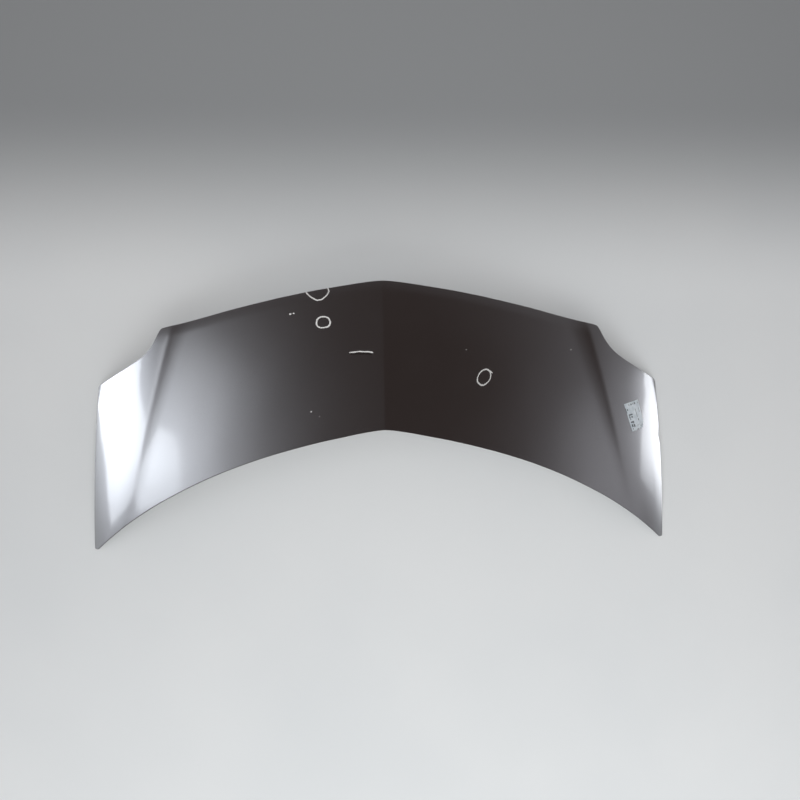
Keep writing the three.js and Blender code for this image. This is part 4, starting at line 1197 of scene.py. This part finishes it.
def plastic():
    m = Nodes("black_plastic")
    scuff = m.ramp(m.noise(1.0, 4.0, 0.6, m.stretch(500.0, 60.0, 200.0, (0.3, 0.4, 0.2))), 0.6, 0.8)
    tone = m.mix(m.ramp(m.noise(90.0, 3.0, 0.5), 0.35, 0.7), (0.014, 0.0145, 0.016, 1), (0.024, 0.025, 0.027, 1))
    tone = m.mix(m.math("MULTIPLY", scuff, 0.3), tone, (0.12, 0.12, 0.12, 1))
    m.set(Base_Color=tone, Roughness=m.math("ADD", 0.40, m.math("MULTIPLY", scuff, 0.25)))
    m.set(Normal=m.bump(m.noise(1700.0, 2.0, 0.5), 0.25, 0.0002))
    return m.mat


def paper():
    """Pale blue-grey label stock with plain printed bars and blocks, dirty at its torn end."""
    m = Nodes("label_paper")
    uvn = m.add("ShaderNodeUVMap", uv_map="label")
    sep = m.add("ShaderNodeSeparateXYZ")
    m.link(uvn.outputs[0], sep.inputs[0])
    u, v = sep.outputs[0], sep.outputs[1]
    fibre = m.noise(2200.0, 3.0, 0.6)
    stain = m.noise(70.0, 5.0, 0.65)
    tone = m.mix(m.ramp(stain, 0.35, 0.7), (0.44, 0.50, 0.54, 1), (0.60, 0.65, 0.68, 1))
    tone = m.mix(m.math("MULTIPLY", m.ramp(fibre, 0.3, 0.7), 0.2), tone, (0.68, 0.71, 0.72, 1))

    def box(a0, a1, b0, b1, soft=0.012):
        f = m.math("MULTIPLY", m.ramp(u, a0 - soft, a0 + soft), m.ramp(u, a1 - soft, a1 + soft, 1.0, 0.0))
        g = m.math("MULTIPLY", m.ramp(v, b0 - soft, b0 + soft), m.ramp(v, b1 - soft, b1 + soft, 1.0, 0.0))
        return m.math("MULTIPLY", f, g)

    ink = None

    def add(q, s=1.0):
        nonlocal ink
        q = m.math("MULTIPLY", q, s)
        ink = q if ink is None else m.math("MAXIMUM", ink, q)

    # a frame, a column of short blocks, ruled lines and a row of small blocks
    for b0, b1, a0, a1 in (
        (0.20, 0.26, 0.08, 0.15), (0.395, 0.44, 0.09, 0.36), (0.455, 0.545, 0.09, 0.16), (0.475, 0.53, 0.23, 0.33),
        (0.565, 0.59, 0.10, 0.17), (0.65, 0.70, 0.09, 0.32), (0.70, 0.73, 0.22, 0.30), (0.75, 0.85, 0.09, 0.19),
        (0.76, 0.86, 0.23, 0.33), (0.895, 0.93, 0.09, 0.16),
    ):
        add(box(a0, a1, b0, b1), 0.97)
    for a0, a1 in ((0.28, 0.32), (0.41, 0.50), (0.56, 0.60), (0.66, 0.76), (0.90, 0.95)):
        add(box(a0, a1, 0.055, 0.115), 0.85)
    add(box(0.63, 0.665, 0.27, 0.56, 0.008), 0.8)
    add(box(0.64, 0.70, 0.61, 0.68), 0.95)
    add(box(0.87, 0.91, 0.26, 0.42, 0.01), 0.6)
    add(box(0.0, 0.035, 0.16, 0.34, 0.01), 0.9)
    speck = m.ramp(m.noise(1.0, 4.0, 0.7, m.stretch(420.0, 420.0, 420.0, (0.2, 0.1, 0.4))), 0.53, 0.60)
    add(m.math("MULTIPLY", speck, m.math("MULTIPLY", m.ramp(v, 0.70, 0.80), m.ramp(u, 0.36, 0.5))), 0.85)
    broken = m.ramp(m.noise(900.0, 3.0, 0.7), 0.20, 0.36)
    tone = m.mix(m.math("MULTIPLY", ink, broken), tone, (0.035, 0.045, 0.05, 1))
    m.set(Base_Color=tone, Roughness=0.55)
    crease = m.math("ADD", m.noise(120.0, 4.0, 0.6, None, 1.2), m.math("MULTIPLY", fibre, 0.2))
    m.set(Normal=m.bump(crease, 0.55, 0.0008))
    return m.mat


give(skin, body_paint())
give(inner, inner_paint())
give(label, paper())
for slot_name, make in (
    ("primed_steel", primed_steel), ("zinc_plated_steel", zinc), ("buffer_rubber", rubber), ("mastic", mastic),
    ("black_plastic", plastic),
):
    material = make()
    for ob in SMALL[slot_name]:
        give(ob, material)

# ----------------------------------------------------------------------- stage
def floor():
    ob = add_mesh("floor", [(-30000, -30000, 0), (30000, -30000, 0), (30000, 30000, 0), (-30000, 30000, 0)], [(0, 1, 2, 3)], False)
    m = Nodes("floor_paint")
    tone = m.mix(m.ramp(m.noise(1.3, 3.0, 0.5), 0.3, 0.7), (0.68, 0.70, 0.705, 1), (0.72, 0.735, 0.735, 1))
    tone = m.mix(m.math("MULTIPLY", m.noise(60.0, 4.0, 0.6), 0.06), tone, (0.6, 0.6, 0.58, 1))
    place = m.add("ShaderNodeSeparateXYZ")
    m.link(m.coord, place.inputs[0])
    # painted shade: the floor's colour darkens towards +Y, standing in for the light falling off towards the far end
    tone = m.mix(m.ramp(place.outputs[1], 0.32, 0.86), tone, (0.29, 0.30, 0.305, 1))
    m.set(Base_Color=tone, Roughness=0.85)
    m.bsdf.inputs["Specular IOR Level"].default_value = 0.0
    # from below the floor isn't there, so that the underside can be looked at,
    # and far out it runs into the pale backdrop
    out_2 = m.math("ADD", m.math("MULTIPLY", place.outputs[0], place.outputs[0]), m.math("MULTIPLY", place.outputs[1], place.outputs[1]))
    away = m.ramp(m.math("MULTIPLY", out_2, 0.1), 0.27, 0.90)
    mix = m.add("ShaderNodeMixShader")
    m.link(m.math("MAXIMUM", m.add("ShaderNodeNewGeometry").outputs["Backfacing"], away), mix.inputs[0])
    m.link(m.bsdf.outputs[0], mix.inputs[1])
    m.link(m.add("ShaderNodeBsdfTransparent").outputs[0], mix.inputs[2])
    m.link(mix.outputs[0], m.out.inputs[0])
    give(ob, m.mat)
    return ob


floor()


def panel_light(name, corners, strength, colour=(1, 1, 1), fade=None):
    """A flat soft light of any outline, seen in reflections only."""
    ob = add_mesh(name, [(x, y - CENTRE_Y, z) for x, y, z in corners], [tuple(range(len(corners)))], False)
    mat = bpy.data.materials.new(name)
    mat.use_nodes = True
    t = mat.node_tree
    t.nodes.clear()
    out = t.nodes.new("ShaderNodeOutputMaterial")
    e = t.nodes.new("ShaderNodeEmission")
    e.inputs["Color"].default_value = (*colour, 1)
    e.inputs["Strength"].default_value = strength
    t.links.new(e.outputs[0], out.inputs[0])
    if fade:
        co = t.nodes.new("ShaderNodeTexCoord")
        sep = t.nodes.new("ShaderNodeSeparateXYZ")
        t.links.new(co.outputs["Object"], sep.inputs[0])
        soft = t.nodes.new("ShaderNodeMapRange")
        soft.interpolation_type = "SMOOTHSTEP"
        t.links.new(sep.outputs[1], soft.inputs[0])
        for s_, v_ in zip(soft.inputs[1:5], (fade[0], fade[1], fade[2], strength)):
            s_.default_value = v_
        t.links.new(soft.outputs[0], e.inputs["Strength"])
    ob.data.materials.append(mat)
    ob.visible_camera = False
    ob.visible_diffuse = False
    ob.visible_shadow = False
    return ob


X0 = -3000.0
panel_light(
    "window_left",
    [
        (X0, -30, 2310), (X0, -240, 2345), (X0, -900, 2330), (X0, -900, 470), (X0, -600, 290), (X0, -312, 140), (X0, -150, 10),
        (X0, 1000, 10), (X0, 920, 1060), (X0, 845, 1077), (X0, 553, 1204), (X0, 385, 1436), (X0, 146, 1897), (X0, 66, 2248),
    ],
    6.5, (0.93, 0.98, 1.05), (-0.95, -0.15, 4.3),
)
panel_light(
    "window_right",
    [(2600, -545, 3), (2600, 240, 3), (2600, 110, 165), (2600, -147, 368), (2600, -311, 477), (2600, -469, 579), (2600, -501, 358), (2600, -528, 147)],
    4.6, (0.95, 0.98, 1.03), (-0.60, -0.12, 1.5),
)
panel_light(
    "bounce_right",
    [(783, -700, 3), (2600, -1200, 3), (2600, 300, 3), (940, 165, 3), (783, 125, 3)],
    4.8, (0.95, 0.98, 1.03), (-0.36, -0.12, 0.6),
)
panel_light("bounce_left", [(-785, 330, 3), (-3000, 900, 3), (-3000, -160, 3), (-1080, -53, 3), (-812, 27, 3), (-785, 40, 3)], 6.0, (0.95, 0.98, 1.03))


def area(name, place, aim, size, power, colour=(1, 1, 1), glossy=True):
    d = bpy.data.lights.new(name, "AREA")
    d.shape = "RECTANGLE"
    d.size, d.size_y = size
    d.energy = power
    d.color = colour
    ob = bpy.data.objects.new(name, d)
    scene.collection.objects.link(ob)
    ob.location = place
    ob.rotation_euler = (Vector(aim) - Vector(place)).to_track_quat("-Z", "Y").to_euler()
    ob.visible_glossy = glossy
    return ob


area("overhead_fill", (0.0, -0.5, 3.4), (0, -0.1, 0), (4.6, 4.2), 36, (0.98, 1.0, 1.01), glossy=False)
wash = area("floor_wash", (0.1, -2.3, 2.1), (0, -0.9, 0), (4.4, 1.6), 67, (0.97, 1.0, 1.01), glossy=False)
wash.data.use_shadow = False
back = area("back_wash", (0.0, 1.5, 1.7), (0, 0.45, 0), (3.2, 1.0), 9, (0.98, 1.0, 1.0), glossy=False)
back.data.use_shadow = False
glow = area("underside_glow", (0, -0.01, 0.003), (0, -0.01, 1), (1.2, 0.36), 4.0, glossy=False)
glow.visible_camera = False


def world():
    """Dark overhead, brighter low down on either side, pale where the camera sees it."""
    w = bpy.data.worlds.new("studio")
    scene.world = w
    w.use_nodes = True
    t = w.node_tree
    t.nodes.clear()
    new = t.nodes.new
    link = t.links.new

    def math_(op, a, b=0.0, clamp=False):
        n = new("ShaderNodeMath")
        n.operation = op
        n.use_clamp = clamp
        for s, v in zip(n.inputs, (a, b)):
            if isinstance(v, bpy.types.NodeSocket):
                link(v, s)
            else:
                s.default_value = v
        return n.outputs[0]

    out = new("ShaderNodeOutputWorld")
    co = new("ShaderNodeTexCoord")
    sep = new("ShaderNodeSeparateXYZ")
    link(co.outputs["Generated"], sep.inputs[0])
    x, y, z = sep.outputs
    ramp = new("ShaderNodeValToRGB")
    link(z, ramp.inputs[0])
    cr = ramp.color_ramp
    cr.interpolation = "EASE"
    cr.elements[0].position = 0.0
    cr.elements[0].color = (0.37, 0.38, 0.405, 1)
    cr.elements[1].position = 1.0
    cr.elements[1].color = (0.0, 0.0, 0.0, 1)
    for pos, col in ((0.45, (0.29, 0.30, 0.32)), (0.60, (0.20, 0.205, 0.22)), (0.72, (0.085, 0.088, 0.093)), (0.84, (0.010, 0.010, 0.010))):
        el = cr.elements.new(pos)
        el.color = (*col, 1)
    flat = math_("SUBTRACT", 1.0, math_("MULTIPLY", z, z))
    cosine = math_("DIVIDE", math_("MULTIPLY", x, x), math_("MAXIMUM", flat, 0.001))
    side = math_("ADD", 0.22, math_("MULTIPLY", cosine, 0.78))
    glow = new("ShaderNodeVectorMath")
    glow.operation = "SCALE"
    link(ramp.outputs[0], glow.inputs[0])
    link(side, glow.inputs["Scale"])
    # the wall and ceiling lit round the left window
    near = new("ShaderNodeMapRange")
    near.interpolation_type = "SMOOTHSTEP"
    link(math_("DIVIDE", math_("MULTIPLY", x, -1.0), math_("SQRT", math_("MAXIMUM", flat, 0.001))), near.inputs[0])
    near.inputs[1].default_value = 0.80
    near.inputs[2].default_value = 0.97
    band = new("ShaderNodeValToRGB")
    link(z, band.inputs[0])
    cb = band.color_ramp
    cb.interpolation = "EASE"
    cb.elements[0].position = 0.56
    cb.elements[0].color = (0.0, 0.0, 0.0, 1)
    cb.elements[1].position = 0.90
    cb.elements[1].color = (0.0, 0.0, 0.0, 1)
    for pos, col in ((0.66, (2.20, 2.30, 2.43)), (0.74, (1.83, 1.91, 2.03)), (0.83, (0.50, 0.52, 0.56))):
        el = cb.elements.new(pos)
        el.color = (*col, 1)
    lit = new("ShaderNodeVectorMath")
    lit.operation = "SCALE"
    link(band.outputs[0], lit.inputs[0])
    link(near.outputs[0], lit.inputs["Scale"])
    # and, fainter, the wall on the right
    flank = new("ShaderNodeMapRange")
    flank.interpolation_type = "SMOOTHSTEP"
    lean = math_("SUBTRACT", math_("MULTIPLY", x, 0.966), math_("MULTIPLY", y, 0.259))
    link(math_("DIVIDE", lean, math_("SQRT", math_("MAXIMUM", flat, 0.001))), flank.inputs[0])
    flank.inputs[1].default_value = 0.86
    flank.inputs[2].default_value = 0.99
    wall = new("ShaderNodeValToRGB")
    link(z, wall.inputs[0])
    cw = wall.color_ramp
    cw.interpolation = "EASE"
    cw.elements[0].position = 0.18
    cw.elements[0].color = (0.0, 0.0, 0.0, 1)
    cw.elements[1].position = 0.82
    cw.elements[1].color = (0.0, 0.0, 0.0, 1)
    for pos, col in ((0.38, (0.46, 0.47, 0.51)), (0.60, (0.62, 0.63, 0.68)), (0.67, (0.36, 0.37, 0.39)), (0.74, (0.05, 0.05, 0.055))):
        el = cw.elements.new(pos)
        el.color = (*col, 1)
    faint = new("ShaderNodeVectorMath")
    faint.operation = "SCALE"
    link(wall.outputs[0], faint.inputs[0])
    link(flank.outputs[0], faint.inputs["Scale"])
    first = new("ShaderNodeVectorMath")
    first.operation = "ADD"
    link(glow.outputs[0], first.inputs[0])
    link(faint.outputs[0], first.inputs[1])
    both = new("ShaderNodeVectorMath")
    both.operation = "ADD"
    link(first.outputs[0], both.inputs[0])
    link(lit.outputs[0], both.inputs[1])
    total = new("ShaderNodeVectorMath")
    total.operation = "ADD"
    link(both.outputs[0], total.inputs[0])
    total.inputs[1].default_value = (0.044, 0.018, 0.009)
    bg = new("ShaderNodeBackground")
    link(total.outputs[0], bg.inputs["Color"])
    pale = new("ShaderNodeBackground")
    pale.inputs["Color"].default_value = (0.62, 0.63, 0.64, 1)
    path = new("ShaderNodeLightPath")
    mix = new("ShaderNodeMixShader")
    link(path.outputs["Is Camera Ray"], mix.inputs[0])
    link(bg.outputs[0], mix.inputs[1])
    link(pale.outputs[0], mix.inputs[2])
    link(mix.outputs[0], out.inputs[0])


world()

# ---------------------------------------------------------------------- camera
def rotation(yaw, pitch, roll):
    cy, sy, cp, sp, cr, sr = (f(a) for a in (yaw, pitch, roll) for f in (math.cos, math.sin))
    ry = np.array([[cy, 0, sy], [0, 1, 0], [-sy, 0, cy]])
    rx = np.array([[1, 0, 0], [0, cp, -sp], [0, sp, cp]])
    rz = np.array([[cr, -sr, 0], [sr, cr, 0], [0, 0, 1]])
    return rz @ rx @ ry


data = bpy.data.cameras.new("camera")
data.sensor_width = 36
data.sensor_fit = "HORIZONTAL"
data.lens = 36 * 700 / 800
data.clip_start = 0.05
data.clip_end = 60
cam = bpy.data.objects.new("camera", data)
scene.collection.objects.link(cam)
r = rotation(0.0504, 0.0147, 0.0124).T
cam.matrix_world = Matrix([[*r[0], -0.0488], [*r[1], 0.0702], [*r[2], 1.9108], [0, 0, 0, 1]])
scene.camera = cam

scene.view_settings.view_transform = "Standard"
scene.view_settings.look = "None"
